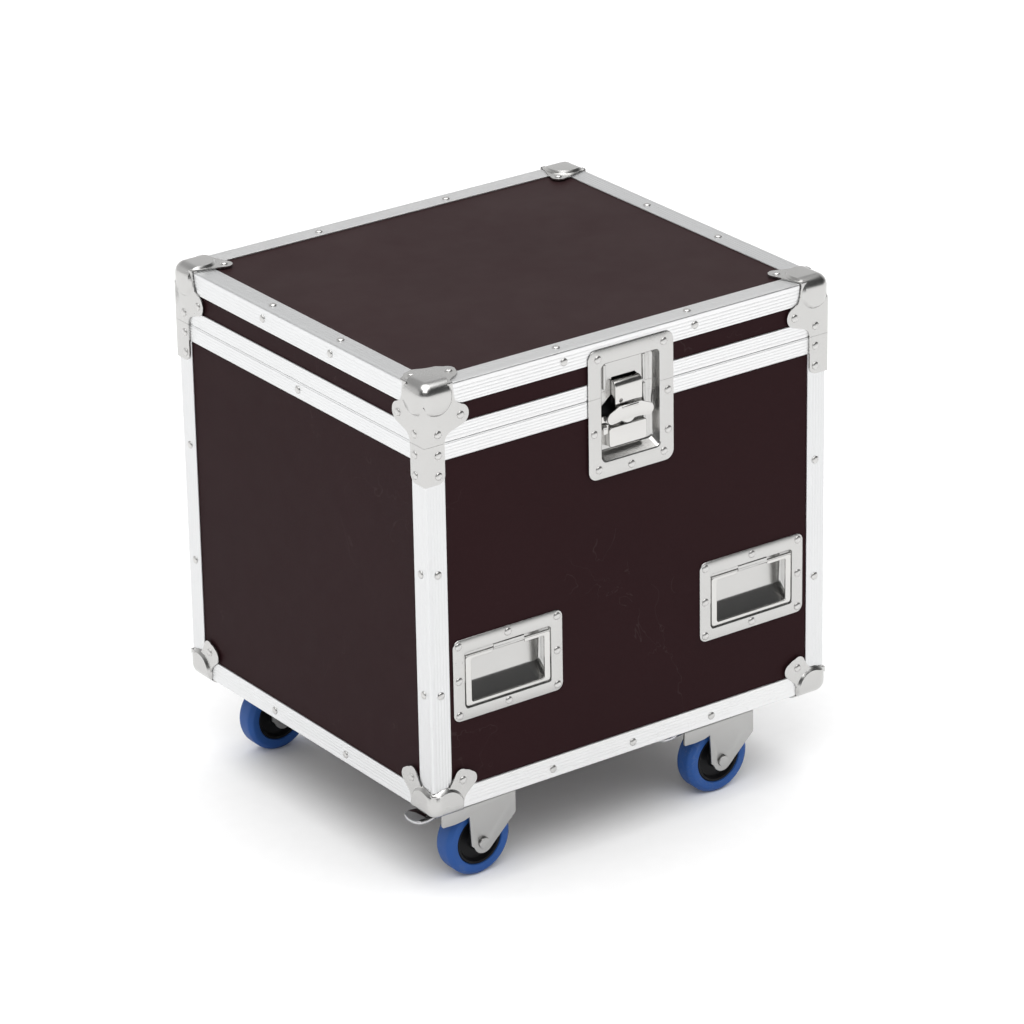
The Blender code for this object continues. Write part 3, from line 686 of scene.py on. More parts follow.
def closing_section(reach, tongue):
    """Section as (depth behind the outer face, height away from the seam)."""
    ribs = [place for place in (0.0062, 0.0104, 0.0146, 0.0188, 0.0222) if place < reach - 0.0014]
    outer = [(depth, at) for at, depth in grooved(0.0027, reach - 0.0007, ribs)]
    if tongue:
        middle = [(0.0048, STOP), (0.0056, STOP - 0.0019), (0.0072, STOP - 0.0019), (0.0080, STOP)]
    else:
        middle = [(0.0043, STOP), (0.0047, STOP + 0.0026), (0.0089, STOP + 0.0026), (0.0095, STOP)]
    lip = [(0.0004, 0.0023), (0.0004, 0.0007), (0.0007, STOP)]
    inner = [(INNER, STOP), (INNER, 0.0160), (INNER - SKIN, 0.0160), (INNER - SKIN, WEB), (SKIN, WEB)]
    end = [(SKIN, reach), (0.0006, reach)]
    return outer[::-1] + lip + middle + inner + end


def sliced(shape, point, normal):
    """Cut away what lies beyond a plane and close the cut."""
    geometry = shape.verts[:] + shape.edges[:] + shape.faces[:]
    cut = bmesh.ops.bisect_plane(shape, geom=geometry, dist=0.000001, plane_co=point, plane_no=normal,
                                 clear_outer=True)
    rim = [item for item in cut["geom_cut"] if isinstance(item, bmesh.types.BMEdge)]
    bmesh.ops.contextual_create(shape, geom=rim)
    return shape


LATCH_ROOM = 0.0495        # half of the room that the front lengths leave for the latch's dish


def closing_length(section, up, start, run, inward, mitres):
    """One sawn length; each mitre is the sign of the run at the end that it slants."""
    shape = pushed(section, start, run, inward, (0, 0, up))
    along = Vector(run).normalized()
    for sign in mitres:
        corner = Vector(start) + (Vector(run) if sign > 0 else Vector())
        shape = sliced(shape, corner, sign * along + Vector(inward))
    return shape


def make_closing_lengths():
    for body, reach, up in (("base", REACH_BASE, -1), ("lid", REACH_LID, 1)):
        section = closing_section(reach, tongue=body == "lid")
        width, depth = right - left, rear - front
        short = right - LATCH_ROOM
        lengths = {
            "front_left": ((left, front, seam), (short, 0, 0), (0, 1, 0), (-1,)),
            "front_right": ((LATCH_ROOM, front, seam), (short, 0, 0), (0, 1, 0), (1,)),
            "rear": ((left, rear, seam), (width, 0, 0), (0, -1, 0), (-1, 1)),
            "left": ((left, front, seam), (0, depth, 0), (1, 0, 0), (-1, 1)),
            "right": ((right, front, seam), (0, depth, 0), (-1, 0, 0), (-1, 1)),
        }
        for name, (start, run, inward, mitres) in lengths.items():
            shape = closing_length(section, up, start, run, inward, mitres)
            metal = SHADED_ALUMINIUM["x" if run[0] else "y"]
            finished(f"{body}_closing_{name}", shape, body, metal, [f"{body}_closing_frame"])
        print(f"{body} closing profile: {reach * 1000:.1f} mm high, section of {len(section)} points")


make_closing_lengths()

# %% [markdown]
# ## Ball corners
# A ball corner is pressed from one steel sheet: three flat lobes that lie on the faces, and a
# rounded dome that takes the knocks. The dome here is what a rounded cube and a ball have in
# common, which gives the flat cheeks and the crisp rim of the pressing. It is hollow, and the lobes
# are slabs with the outline of the sheet, folded along the edges.

# %% Ball corners
SHEET = 0.0020             # from the sheet's outer face to 0.3 mm off the profiles
LIFT = 0.0003
OUT = -SHEET - LIFT
PROUD = 0.0055
LEG = 0.0287


def dome_solid(shrink, centre, radius, fillet):
    """What a rounded cube and a ball have in common."""
    low = -(PROUD - shrink)
    cube = block((low,) * 3, (0.080,) * 3, fillet - shrink, 12)
    return carve(cube, ball(centre, radius - shrink, 72), "INTERSECT")


def folded(shape):
    """Round the sharp outer folds, which run along the three axes through the sheet's outer corner."""
    folds = []
    for edge in shape.edges:
        middle = (edge.verts[0].co + edge.verts[1].co) / 2
        if sum(abs(value - OUT) < 0.00001 for value in middle) == 2 and edge.calc_length() > 0.002:
            folds.append(edge)
    bmesh.ops.bevel(shape, geom=folds, offset=0.0015, segments=3, profile=0.5, affect="EDGES", material=-1)
    return shape


def face_sheets(side_outline, level_outline=None):
    shape = carve(slab(side_outline, OUT, -LIFT, "x"), slab(side_outline, OUT, -LIFT, "y"), "UNION")
    if level_outline:
        shape = carve(shape, slab(level_outline, OUT, -LIFT, "z"), "UNION")
    return folded(shape)


def ball_corner(side_outline, level_outline, centre, radius, fillet):
    sheets = face_sheets(side_outline, level_outline)
    room = carve(ball(centre, radius - 0.0005, 48), block((-0.004,) * 3, (0.019, 0.019, centre[2] - 0.001)),
                 "UNION")
    sheets = carve(sheets, room)
    dome = carve(dome_solid(0, centre, radius, fillet), dome_solid(SHEET, centre, radius, fillet))
    behind = block((-LIFT - 0.0001,) * 3, (0.090,) * 3)
    for axis in range(3):
        bar = [0.0060 + 0.0001 * axis] * 3
        bar[axis] = 0.0440
        behind = carve(behind, block((-0.001,) * 3, bar))
    dome = carve(dome, behind)
    inside = carve(block((0.0018,) * 3, (0.090,) * 3), block((0,) * 3, (0.008,) * 3))
    return carve(carve(dome, inside), sheets, "UNION")


def make_ball_corners():
    to_seam = top - seam - STOP
    wing = arc((0.0522, 0.0438), 0.0143, 75, -75, 12)
    upper_side = [(OUT, OUT), (OUT, to_seam), (LEG, to_seam), (0.0293, 0.0730), (0.0312, 0.0685),
                  (0.0350, 0.0648)]
    upper_side += [(0.0410, 0.0622), (0.0480, 0.0600)] + wing + [(0.0480, 0.0260), (0.0448, 0.0180),
                                                                 (0.0430, 0.0040), (0.0430, OUT)]
    upper_level = [(OUT, OUT), (0.0410, OUT), (0.0430, 0.0040), (0.0490, 0.0100), (0.0600, 0.0155),
                   (0.0675, 0.0225)]
    upper_level += arc((0.0620, 0.0370), 0.0105, -35, 80, 7) + [(0.0560, 0.0540), (0.0480, 0.0550),
                                                                (0.0400, 0.0570)]
    upper_level += arc((0.0250, 0.0545), 0.0085, 70, 130, 4) + [(0.0110, 0.0585), (0.0055, 0.0520),
                                                                (OUT, 0.0470)]
    single_level = [(OUT, OUT), (0.0415, OUT), (0.0430, 0.0040)] + arc((0.0465, 0.0460), 0.0112, -22, 112, 10)
    single_level += [(0.0040, 0.0430), (OUT, 0.0415)]
    double = ball_corner(upper_side, upper_level, (0.0195, 0.0195, 0.0155), 0.0315, 0.0165)
    single = ball_corner(upper_side, single_level, (0.0195, 0.0195, 0.0155), 0.0315, 0.0165)

    tip = arc((0.0560, 0.0400), 0.0112, -50, 70, 7) + [(0.0570, 0.0525), (0.0545, 0.0540)]
    tip += arc((0.0432, 0.0478), 0.0100, 50, 165, 6)
    lower_side = [(OUT, OUT), (0.0440, OUT), (0.0450, 0.0080), (0.0500, 0.0200)] + tip
    lower_side += [(0.0300, 0.0440), (0.0215, 0.0312), (0.0190, 0.0302), (OUT, 0.0302)]
    lower = ball_corner(lower_side, [(v, u) for u, v in lower_side][::-1],
                        (0.020, 0.020, 0.0085), 0.0345, 0.0165)
    for side_x, side_y in CORNERS:
        name = corner_name(side_x, side_y)
        source = double if name == "front_left" else single
        shape = at_corner(source, side_x, side_y, True)
        finished(f"upper_ball_corner_{name}", shape, "lid", NICKEL,
                 [f"lid_ball_corner_{name}"])
        shape = at_corner(lower, side_x, side_y, False)
        finished(f"lower_ball_corner_{name}", shape, "base", NICKEL,
                 [f"base_ball_corner_{name}"])
    print("ball corner faces:", len(double.faces), len(single.faces), len(lower.faces))


make_ball_corners()

# %% [markdown]
# ## Corner braces
# Below the seam each upper corner goes on as an angle with round lower ends, riveted to the base.
# It is the same folded sheet as the ball corner, without the dome.

# %% Corner braces
def make_braces():
    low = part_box("corner_brace_front_left")[0].z - base
    high = seam - STOP - base
    radius = 0.0110
    leg = [(OUT, high), (OUT, low)] + arc((LEG - radius, low + radius), radius, -90, 0, 8) + [(LEG, high)]
    shape = face_sheets(leg)
    for side_x, side_y in CORNERS:
        name = corner_name(side_x, side_y)
        copy = at_corner(shape, side_x, side_y, False)
        finished(f"brace_{name}", copy, "base", NICKEL, [f"corner_brace_{name}"])
    print("brace length:", round(high - low, 4))


make_braces()

# %% [markdown]
# ## Rivets
# Everything is held with domed rivets, all of one size. One rivet is a short profile spun about its
# axis, with few faces because there are about a hundred and forty. Those of one area are joined in
# one mesh, so that each area moves with its own body.

# %% Rivets
RIVET_RADIUS, RIVET_HEIGHT = 0.0054, 0.0021
RIVET_PROFILE = [(0.0, -0.0004), (RIVET_RADIUS, -0.0004), (RIVET_RADIUS, 0.0003), (0.0049, 0.0010),
                 (0.0038, 0.0017)]
RIVET_PROFILE += [(0.0020, 0.00205), (0.0, RIVET_HEIGHT)]
one_rivet = turned(RIVET_PROFILE, (0, 0, 0), "z", 14)
FACES = {
    "front": (Vector((0, -1, 0)), lambda u, v: Vector((u, front, v))),
    "rear": (Vector((0, 1, 0)), lambda u, v: Vector((u, rear, v))),
    "left": (Vector((-1, 0, 0)), lambda u, v: Vector((left, u, v))),
    "right": (Vector((1, 0, 0)), lambda u, v: Vector((right, u, v))),
    "top": (Vector((0, 0, 1)), lambda u, v: Vector((u, v, top))),
    "bottom": (Vector((0, 0, -1)), lambda u, v: Vector((u, v, base))),
}


def rivet(face, u, v, proud=0.0):
    """Copy of the rivet at (u, v) on a face of the case; proud lifts it outwards."""
    normal, place = FACES[face]
    copy = one_rivet.copy()
    turn = normal.to_track_quat("Z", "Y").to_matrix().to_4x4()
    bmesh.ops.transform(copy, verts=copy.verts,
                        matrix=Matrix.Translation(place(u, v) + normal * proud) @ turn)
    return copy


def on_uprights(from_edge, height, proud):
    """The same rivet on both faces of the four upright edges, as eight copies."""
    rivets = []
    for side_x, side_y in CORNERS:
        rivets.append(rivet("front" if side_y < 0 else "rear", side_x * (right - from_edge), height, proud))
        rivets.append(rivet("left" if side_x < 0 else "right", side_y * (rear - from_edge), height, proud))
    return rivets


LID_ROW, SEAM_ROW, BASE_ROW = base + 0.575, base + 0.501, base + 0.0125
LEVEL_ROW = 0.017          # from the case's edge to the rivets on its top and bottom
ACROSS, DEEP = 0.104, 0.078


def make_rivets():
    on_sheet = SHEET + LIFT
    lid, shell = [], []
    for face in ("front", "rear"):
        lid += [rivet(face, x, LID_ROW) for x in (-ACROSS, ACROSS)]
        shell += [rivet(face, x, BASE_ROW) for x in (-0.130, 0.0, 0.130)]
    for face in ("left", "right"):
        lid += [rivet(face, y, LID_ROW) for y in (-DEEP, DEEP)]
        shell += [rivet(face, y, BASE_ROW) for y in (-0.084, 0.084)]
        shell += [rivet(face, 0.0, SEAM_ROW)]
    shell += [rivet("rear", x, SEAM_ROW) for x in (-0.240, 0.240)]
    for level, area in (("top", lid), ("bottom", shell)):
        area += [rivet(level, x, y) for x in (-ACROSS, ACROSS) for y in (front + LEVEL_ROW, rear - LEVEL_ROW)]
        area += [rivet(level, x, y) for x in (left + LEVEL_ROW, right - LEVEL_ROW) for y in (-DEEP, DEEP)]
    for height in (0.168, 0.336):
        shell += on_uprights(0.016, base + height, 0.0)
    finished("rivets_lid", joined(*lid), "lid", RIVET_NICKEL)
    finished("rivets_base", joined(*shell), "base", RIVET_NICKEL)

    upper = on_uprights(0.054, base + 0.5455, on_sheet) + on_uprights(0.0190, base + 0.527, on_sheet)
    braces = on_uprights(0.0190, base + 0.499, on_sheet) + on_uprights(0.0190, base + 0.471, on_sheet)
    lower = on_uprights(0.0455, base + 0.0415, on_sheet)
    for side_x, side_y in CORNERS:
        two = corner_name(side_x, side_y) == "front_left"
        for a, b in ((0.0165, 0.0500), (0.0615, 0.0330)) if two else ((0.0470, 0.0450),):
            upper.append(rivet("top", side_x * (right - a), side_y * (rear - b), on_sheet))
        lower.append(rivet("bottom", side_x * (right - 0.042), side_y * (rear - 0.0455), on_sheet))
    finished("rivets_upper_corners", joined(*upper), "lid", RIVET_NICKEL)
    finished("rivets_braces", joined(*braces), "base", RIVET_NICKEL)
    finished("rivets_lower_corners", joined(*lower), "base", RIVET_NICKEL)
    print("rivets:", len(lid) + len(shell) + len(upper) + len(braces) + len(lower))


make_rivets()

# %% [markdown]
# ## Spring handles
# A recessed handle is a pressed dish with a bail that folds flat into it. The dish is one skin: it
# starts at the plate's rim, turns in over a rolled mouth, drops to a ledge for the bail, slopes to
# the floor and gets its wall at the end. Pulling the skin from one rounded outline to the next
# gives the bends of a pressing. Along the top a tab of the plate curls over the bail's bar to hold
# it.

# %% Spring handles
PIVOT_DROP = 0.0030        # of a bail's pivot below the bail's top
DISH_SHEET = 0.0012
DISH_DEPTH = 0.0180


def around(low, high, grow, radius, steps=6):
    return rounded((low[0] - grow, low[1] - grow), (high[0] + grow, high[1] + grow), radius, steps)


def handle_frame(word):
    """Centre (x, z) and face plane of a handle, from its dish."""
    low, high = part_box(f"handle_dish_{word}")
    return (low.x + high.x) / 2, (low.z + high.z) / 2, low.y


def handle_dish(word):
    x, z, face = handle_frame(word)
    low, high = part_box(f"handle_dish_{word}")
    plate = ((low.x, low.z), (high.x, high.z))
    mouth = ((x - 0.068, z - 0.040), (x + 0.068, z + 0.037))
    floor = ((x - 0.061, z - 0.0145), (x + 0.061, z + 0.034))
    skin = loops_to_surface([
        (around(*plate, 0, 0.010), face + 0.0008),
        (around(*plate, -0.0002, 0.010), face + 0.0003),
        (around(*plate, -0.0006, 0.010), face),
        (around(*mouth, 0.0022, 0.0062), face),
        (around(*mouth, 0.0012, 0.0054), face + 0.0002),
        (around(*mouth, 0.0003, 0.0047), face + 0.0008),
        (around(*mouth, 0, 0.0045), face + 0.0018),
        (around(*mouth, 0, 0.0045), face + 0.0046),
        (around((x - 0.0675, z - 0.0392), (x + 0.0675, z + 0.0369), 0, 0.0045), face + 0.0053),
        (around((x - 0.0616, z - 0.0170), (x + 0.0616, z + 0.0343), 0, 0.0060), face + DISH_DEPTH - 0.0024),
        (around((x - 0.0606, z - 0.0145), (x + 0.0606, z + 0.0339), 0, 0.0056), face + DISH_DEPTH - 0.0008),
        (around(*floor, -0.0020, 0.0050), face + DISH_DEPTH - 0.0002),
        (around(*floor, -0.0035, 0.0045), face + DISH_DEPTH),
    ])
    skin = with_wall(skin, DISH_SHEET, (0, 1, 0))
    return finished(f"dish_{word}", skin, "base", NICKEL, [f"handle_dish_{word}"])


def handle_bail(word):
    """Flat bail with soft edges, open at the top where its round bar runs through the plate's curl."""
    x, z, face = handle_frame(word)
    low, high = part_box(f"handle_bail_{word}")
    near, far = low.y + 0.0001, high.y - 0.0001
    pivot_z, pivot_y = high.z - PIVOT_DROP, (low.y + high.y) / 2
    reach = 0.0664
    band, bottom = 0.0088, 0.0050
    outer = rounded((x - reach, low.z), (x + reach, pivot_z - 0.0002), 0.0040)
    bail = slab(outer, near, far, "y")
    hole = slab(rounded((x - reach + band, low.z + bottom), (x + reach - band, pivot_z - 0.0058), 0.0026),
                near - 0.001, far + 0.001, "y")
    bail = carve(bail, hole)
    notch = block((x - 0.0245, near - 0.001, pivot_z - 0.0075), (x + 0.0265, far + 0.001, pivot_z + 0.0030))
    bail = carve(bail, notch)
    rims = [e for e in bail.edges if e.calc_face_angle(0) > math.radians(60)]
    bmesh.ops.bevel(bail, geom=rims, offset=0.0011, segments=3, profile=0.5, affect="EDGES", material=-1)
    bar = turned([(0, -reach), (0.0016, -reach + 0.0002), (0.0016, reach - 0.0002), (0, reach)],
                 (x, pivot_y, pivot_z), "x", 16)
    bail = joined(bail, bar)
    return finished(f"bail_{word}", bail, f"handle_bail_{word}", BRIGHT_NICKEL,
                    [f"handle_bail_{word}"])


def handle_curl(word):
    """Tab of the plate that curls over the bail's bar."""
    x, z, face = handle_frame(word)
    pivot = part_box(f"handle_bail_{word}")[1].z - PIVOT_DROP
    radius, wall = 0.0030, 0.0010
    spine = [(0.0, pivot + 0.0056), (-0.0004, pivot + 0.0050)]
    spine += [(0.0024 - radius * math.sin(a), pivot + radius * math.cos(a))
              for a in (0.9, 1.3, 1.7, 2.1, 2.5, 2.9)]
    outer = [(face - 0.0002 + depth, height) for depth, height in spine]
    inner = [(depth + wall, height - 0.0002) for depth, height in outer]
    shape = slab(outer + inner[::-1], x - 0.0230, x + 0.0250, "x", 0.0004)
    return finished(f"curl_{word}", shape, "base", NICKEL)


def make_handles():
    rivets = []
    for word in ("left", "right"):
        handle_dish(word)
        handle_bail(word)
        handle_curl(word)
        x, z, face = handle_frame(word)
        places = [(sx * 0.0775, sz * 0.0485) for sx in (-1, 1) for sz in (-1, 1)]
        places += [(0.0, 0.0485), (0.0, -0.0485), (-0.0775, 0.0), (0.0775, 0.0)]
        rivets += [rivet("front", x + dx, z + dz, front - face) for dx, dz in places]
        print(f"handle {word} at x {x:.3f}, z {z:.3f}")
    finished("rivets_handles", joined(*rivets), "base", RIVET_NICKEL)


make_handles()

# %% [markdown]
# ## Butterfly latch
# The latch sits in its own pressed dish, which is sawn through at the seam: the lower part is on
# the base and the upper part on the lid. A knob in the base draws a hook that grips the upper part,
# and the knob is turned by a wing that folds flat. The dish is made like the handles' dishes and
# then sliced at the seam.

# %% Latch dish
low_corner, high_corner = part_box("latch_dish_lower")[0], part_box("latch_dish_upper")[1]
latch_face = low_corner.y
LATCH_DEPTH = 0.0150
latch_floor = latch_face + LATCH_DEPTH
latch_x = (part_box("latch_knob")[0].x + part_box("latch_knob")[1].x) / 2
knob_z = (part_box("latch_knob")[0].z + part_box("latch_knob")[1].z) / 2


def latch_skin():
    plate = ((low_corner.x, low_corner.z), (high_corner.x, high_corner.z))
    mouth = ((-0.0465, base + 0.424), (0.0465, base + 0.557))
    deep = ((-0.0428, base + 0.4315), (0.0428, base + 0.5535))
    return with_wall(loops_to_surface([
        (around(*plate, 0, 0.013, 8), latch_face + 0.0009),
        (around(*plate, -0.0002, 0.013, 8), latch_face + 0.0003),
        (around(*plate, -0.0007, 0.013, 8), latch_face),
        (around(*mouth, 0.0026, 0.0095, 8), latch_face),
        (around(*mouth, 0.0014, 0.0084, 8), latch_face + 0.0003),
        (around(*mouth, 0.0004, 0.0074, 8), latch_face + 0.0010),
        (around(*mouth, 0, 0.0070, 8), latch_face + 0.0020),
        (around(*deep, 0.0010, 0.0070, 8), latch_floor - 0.0032),
        (around(*deep, 0.0003, 0.0068, 8), latch_floor - 0.0017),
        (around(*deep, -0.0010, 0.0062, 8), latch_floor - 0.0005),
        (around(*deep, -0.0028, 0.0050, 8), latch_floor),
    ]), DISH_SHEET, (0, 1, 0))


def make_latch_dish():
    dish = latch_skin()
    slot = [(latch_x - 0.0205, base + 0.5195), (latch_x + 0.0190, base + 0.5195),
            (latch_x + 0.0190, base + 0.5275), (latch_x + 0.0165, base + 0.5300),
            (latch_x - 0.0205, base + 0.5300)]
    dish = carve(dish, slab(slot, latch_floor - 0.002, latch_floor + 0.004, "y"))
    window = [(-0.0395, base + 0.4720), (-0.0150, base + 0.4720), (-0.0150, base + 0.5060),
              (-0.0225, base + 0.5060), (-0.0370, base + 0.4935), (-0.0395, base + 0.4900)]
    dish = carve(dish, slab(window, latch_floor - 0.002, latch_floor + 0.004, "y"))
    lower = sliced(dish.copy(), (0, 0, seam - STOP), (0, 0, 1))
    upper = sliced(dish, (0, 0, seam + STOP), (0, 0, -1))
    rib = (latch_floor - 0.0022, latch_floor + 0.0005)
    upper = joined(upper,
                   block((-0.0345, rib[0], base + 0.5160), (-0.0300, rib[1], base + 0.5500), 0.0011, 3),
                   block((0.0285, rib[0], base + 0.5150), (0.0325, rib[1], base + 0.5510), 0.0011, 3))
    lower = joined(lower, block((0.0285, rib[0], base + 0.4380), (0.0325, rib[1], base + 0.5110), 0.0011, 3))
    finished("latch_plate_lower", lower, "base", NICKEL, ["latch_dish_lower"])
    finished("latch_plate_upper", upper, "lid", NICKEL, ["latch_dish_upper"])

    # Behind the slot and the window, a closed near-black box stands in for the shade in the hollow seen
    # through them: painted shade.
    for body, word, low, high in (("base", "lower", base + 0.4700, seam - 0.0010),
                                  ("lid", "upper", seam + 0.0010, base + 0.5330)):
        spread = (-0.0420, 0.0100) if word == "lower" else (latch_x - 0.0235, latch_x + 0.0235)
        cup = block((spread[0], latch_floor + 0.0014, low), (spread[1], latch_floor + 0.0110, high))
        hollow = block((spread[0] + 0.001, latch_floor, low + 0.001),
                       (spread[1] - 0.001, latch_floor + 0.0100, high - 0.001))
        finished(f"latch_painted_shade_box_{word}", carve(cup, hollow), body, PAINTED_SHADE_BLACK)
    print(f"latch face at y {latch_face:.4f}, knob at x {latch_x:.4f}, z {knob_z:.4f}")


make_latch_dish()

# %% [markdown]
# ## Hook, knob and wing
# The hook is a broad claw with a rolled top. It is an outline seen from the side, pushed across its
# width and given soft edges. The wing is a thin casting with a raised rim, made by insetting its
# front face and pushing the middle in.

# %% Latch mechanism
def make_hook():
    low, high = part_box("latch_hook")
    near, far = low.y, latch_floor - 0.0005
    foot, crest = low.z + 0.0008, high.z
    side = [(far, foot), (near + 0.0040, foot)]
    side += [(near + 0.0034 + 0.0034 * math.cos(a), foot + 0.0034 + 0.0034 * math.sin(a))
             for a in (math.radians(v) for v in (-95, -125, -155, -180))]
    side += [(near, crest - 0.0090)]
    side += [(near + 0.0085 - 0.0085 * math.cos(a), crest - 0.0090 + 0.0090 * math.sin(a))
             for a in (math.radians(v) for v in (15, 30, 45, 60, 75, 90))]
    side += [(far, crest)]
    claw = softened(slab(side, low.x + 0.0005, high.x - 0.0005, "x"), 0.0012)
    eye = turned([(0, -0.002), (0.0030, -0.002), (0.0030, 0.0030), (0, 0.0030)],
                 (latch_x - 0.0130, near, foot + 0.0062), "y", 24)
    claw = carve(claw, eye)
    finished("latch_claw", claw, "latch_hook", BRIGHT_NICKEL, ["latch_hook"])


def make_knob_and_wing():
    low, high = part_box("latch_knob")
    radius = (high.x - low.x) / 2
    profile = [(0, low.y), (radius - 0.0012, low.y), (radius, low.y + 0.0012), (radius, low.y + 0.0060),
               (radius - 0.0010, low.y + 0.0066), (radius - 0.0010, high.y), (0, high.y)]
    knob = turned(profile, (latch_x, 0, knob_z), "y", 48)
    finished("latch_barrel", knob, "latch_knob", BRIGHT_NICKEL, ["latch_knob"])

    low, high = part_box("latch_wing")
    pivot_z = high.z - 0.0025
    outline = [(0.0170, 0.0025), (-0.0170, 0.0025)]
    outline += arc((-0.0285, -0.0115), 0.0083, 112, 262, 9) + [(-0.0140, -0.0178), (0.0140, -0.0178)]
    outline += arc((0.0285, -0.0115), 0.0083, -82, 68, 9)
    wing = slab([(latch_x + u, pivot_z + v) for u, v in outline], low.y + 0.0002, high.y, "y")
    front_face = min(wing.faces, key=lambda face: face.calc_center_median().y)
    bmesh.ops.inset_region(wing, faces=[front_face], thickness=0.0024, depth=0.0)
    bmesh.ops.translate(wing, verts=front_face.verts[:], vec=(0, 0.0008, 0))
    wing = softened(wing, 0.0007, 2, 40)
    barrel = turned([(0, -0.0125), (0.0018, -0.0125), (0.0021, -0.0120), (0.0021, 0.0120), (0.0018, 0.0125),
                     (0, 0.0125)],
                    (latch_x, (low.y + high.y) / 2, pivot_z), "x", 20)
    finished("latch_butterfly", joined(wing, barrel), "latch_wing", BRIGHT_NICKEL,
             ["latch_wing"])


def make_latch_cover():
    """Cover over the knob's lower edge, a pivot knuckle at its left and a stop block."""
    outline = rounded((latch_x - 0.0300, base + 0.4370), (latch_x + 0.0300, base + 0.4645), 0.0040)
    cover = softened(slab(outline, latch_face + 0.0065, latch_floor + 0.0006, "y"), 0.0013)
    knuckle = turned([(0, 0), (0.0022, 0), (0.0028, 0.0006), (0.0028, 0.0060), (0.0022, 0.0066), (0, 0.0066)],
                     (-0.0405, latch_face + 0.0085, base + 0.4665), "x", 20)
    stop = block((-0.0425, latch_face + 0.0070, base + 0.4735),
                 (-0.0345, latch_floor + 0.0004, base + 0.4825), 0.0010, 3)
    arm = block((-0.0380, latch_face + 0.0085, base + 0.4560),
                (-0.0300, latch_floor + 0.0004, base + 0.4700), 0.0010, 3)
    finished("latch_cover", joined(cover, knuckle, stop, arm), "base", BRIGHT_NICKEL)


def make_latch_rivets():
    lift = front - latch_face
    lower = [rivet("front", x, base + z, lift) for x, z in
             ((-0.0520, 0.4145), (0.0520, 0.4145), (0.0, 0.4100), (-0.0590, 0.4650), (0.0590, 0.4430),
              (0.0590, 0.4980))]
    upper = [rivet("front", x, base + 0.5660, lift) for x in (-0.0525, 0.0525)]
    finished("rivets_latch_lower", joined(*lower), "base", RIVET_NICKEL)
    finished("rivets_latch_upper", joined(*upper), "lid", RIVET_NICKEL)


make_hook()
make_knob_and_wing()
make_latch_cover()
make_latch_rivets()

# %% [markdown]
# ## Piano hinge
# The lid hangs on a long hinge along the back: two leaves with rolled knuckles that take turns on
# one pin. A knuckle is a spun tube with a short neck to its leaf, and every second one belongs to
# the other leaf.

# %% Piano hinge
KNUCKLES = 23
LEAF = 0.0012              # thickness of a leaf


def hinge_leaf(word, side, first):
    """One leaf with its share of the knuckles; side is -1 for the base's leaf, below the pin."""
    low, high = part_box(f"hinge_{word}_leaf")
    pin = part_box("hinge_pin")
    axis = Vector((0, (pin[0].y + pin[1].y) / 2, (pin[0].z + pin[1].z) / 2))
    inner, reach = low.y, high.x
    heights = sorted((axis.z + side * 0.0031, low.z if side < 0 else high.z))
    parts = [block((-reach, inner, heights[0]), (reach, inner + LEAF, heights[1]), 0.0003, 2)]
    pitch = 2 * reach / KNUCKLES
    for number in range(first, KNUCKLES, 2):
        start = -reach + pitch * number + 0.0002
        length = pitch - 0.0004
        tube = [(0.0011, 0), (0.0023, 0), (0.0025, 0.0002), (0.0025, length - 0.0002), (0.0023, length),
                (0.0011, length)]
        parts.append(turned(tube + tube[:1], (start, axis.y, axis.z), "x", 14))
        necks = sorted((axis.z + side * 0.0012, axis.z + side * 0.0036))
        parts.append(block((start, inner, necks[0]), (start + length, inner + LEAF, necks[1])))
    return finished(f"piano_hinge_{word}", joined(*parts), "lid" if side > 0 else "base", ZINC,
                    [f"hinge_{word}_leaf"])


def make_hinge():
    hinge_leaf("base", -1, 0)
    hinge_leaf("lid", 1, 1)
    low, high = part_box("hinge_pin")
    radius, length = (high.z - low.z) / 2 - 0.00002, high.x - low.x
    profile = [(0, 0), (radius * 0.8, 0.0001), (radius, 0.0006), (radius, length - 0.0006),
               (radius * 0.8, length - 0.0001)]
    pin = turned(profile + [(0, length)], (low.x, (low.y + high.y) / 2, (low.z + high.z) / 2), "x", 14)
    finished("piano_hinge_pin", pin, "base", ZINC, ["hinge_pin"])
    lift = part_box("hinge_base_leaf")[0].y + LEAF - rear
    for body, side in (("base", -1), ("lid", 1)):
        row = [rivet("rear", x, seam + side * 0.0140, lift)
               for x in (-0.21, -0.14, -0.07, 0.0, 0.07, 0.14, 0.21)]
        finished(f"rivets_hinge_{body}", joined(*row), body, RIVET_NICKEL)
    print("hinge knuckles:", KNUCKLES)


make_hinge()

# %% [markdown]
# ## Casters
# Each caster has a plate bolted to the floor panel, a ball race, a pressed fork and a wheel. The
# fork is bent from one sheet: its section across is an arch with round shoulders, and its side view
# has the slanted legs, so it is the part that an arch pushed lengthways and a side outline have in
# common. The front pair carries a brake pedal.

# %% Casters
AXLE_BACK = 0.028          # of the axle behind the swivel
AXLE_HEIGHT = 0.050
FORK_HALF, FORK_SHEET = 0.0248, 0.0033


def swivel_of(name):
    low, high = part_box(f"caster_plate_{name}")
    return (low.x + high.x) / 2, (low.y + high.y) / 2, high.z


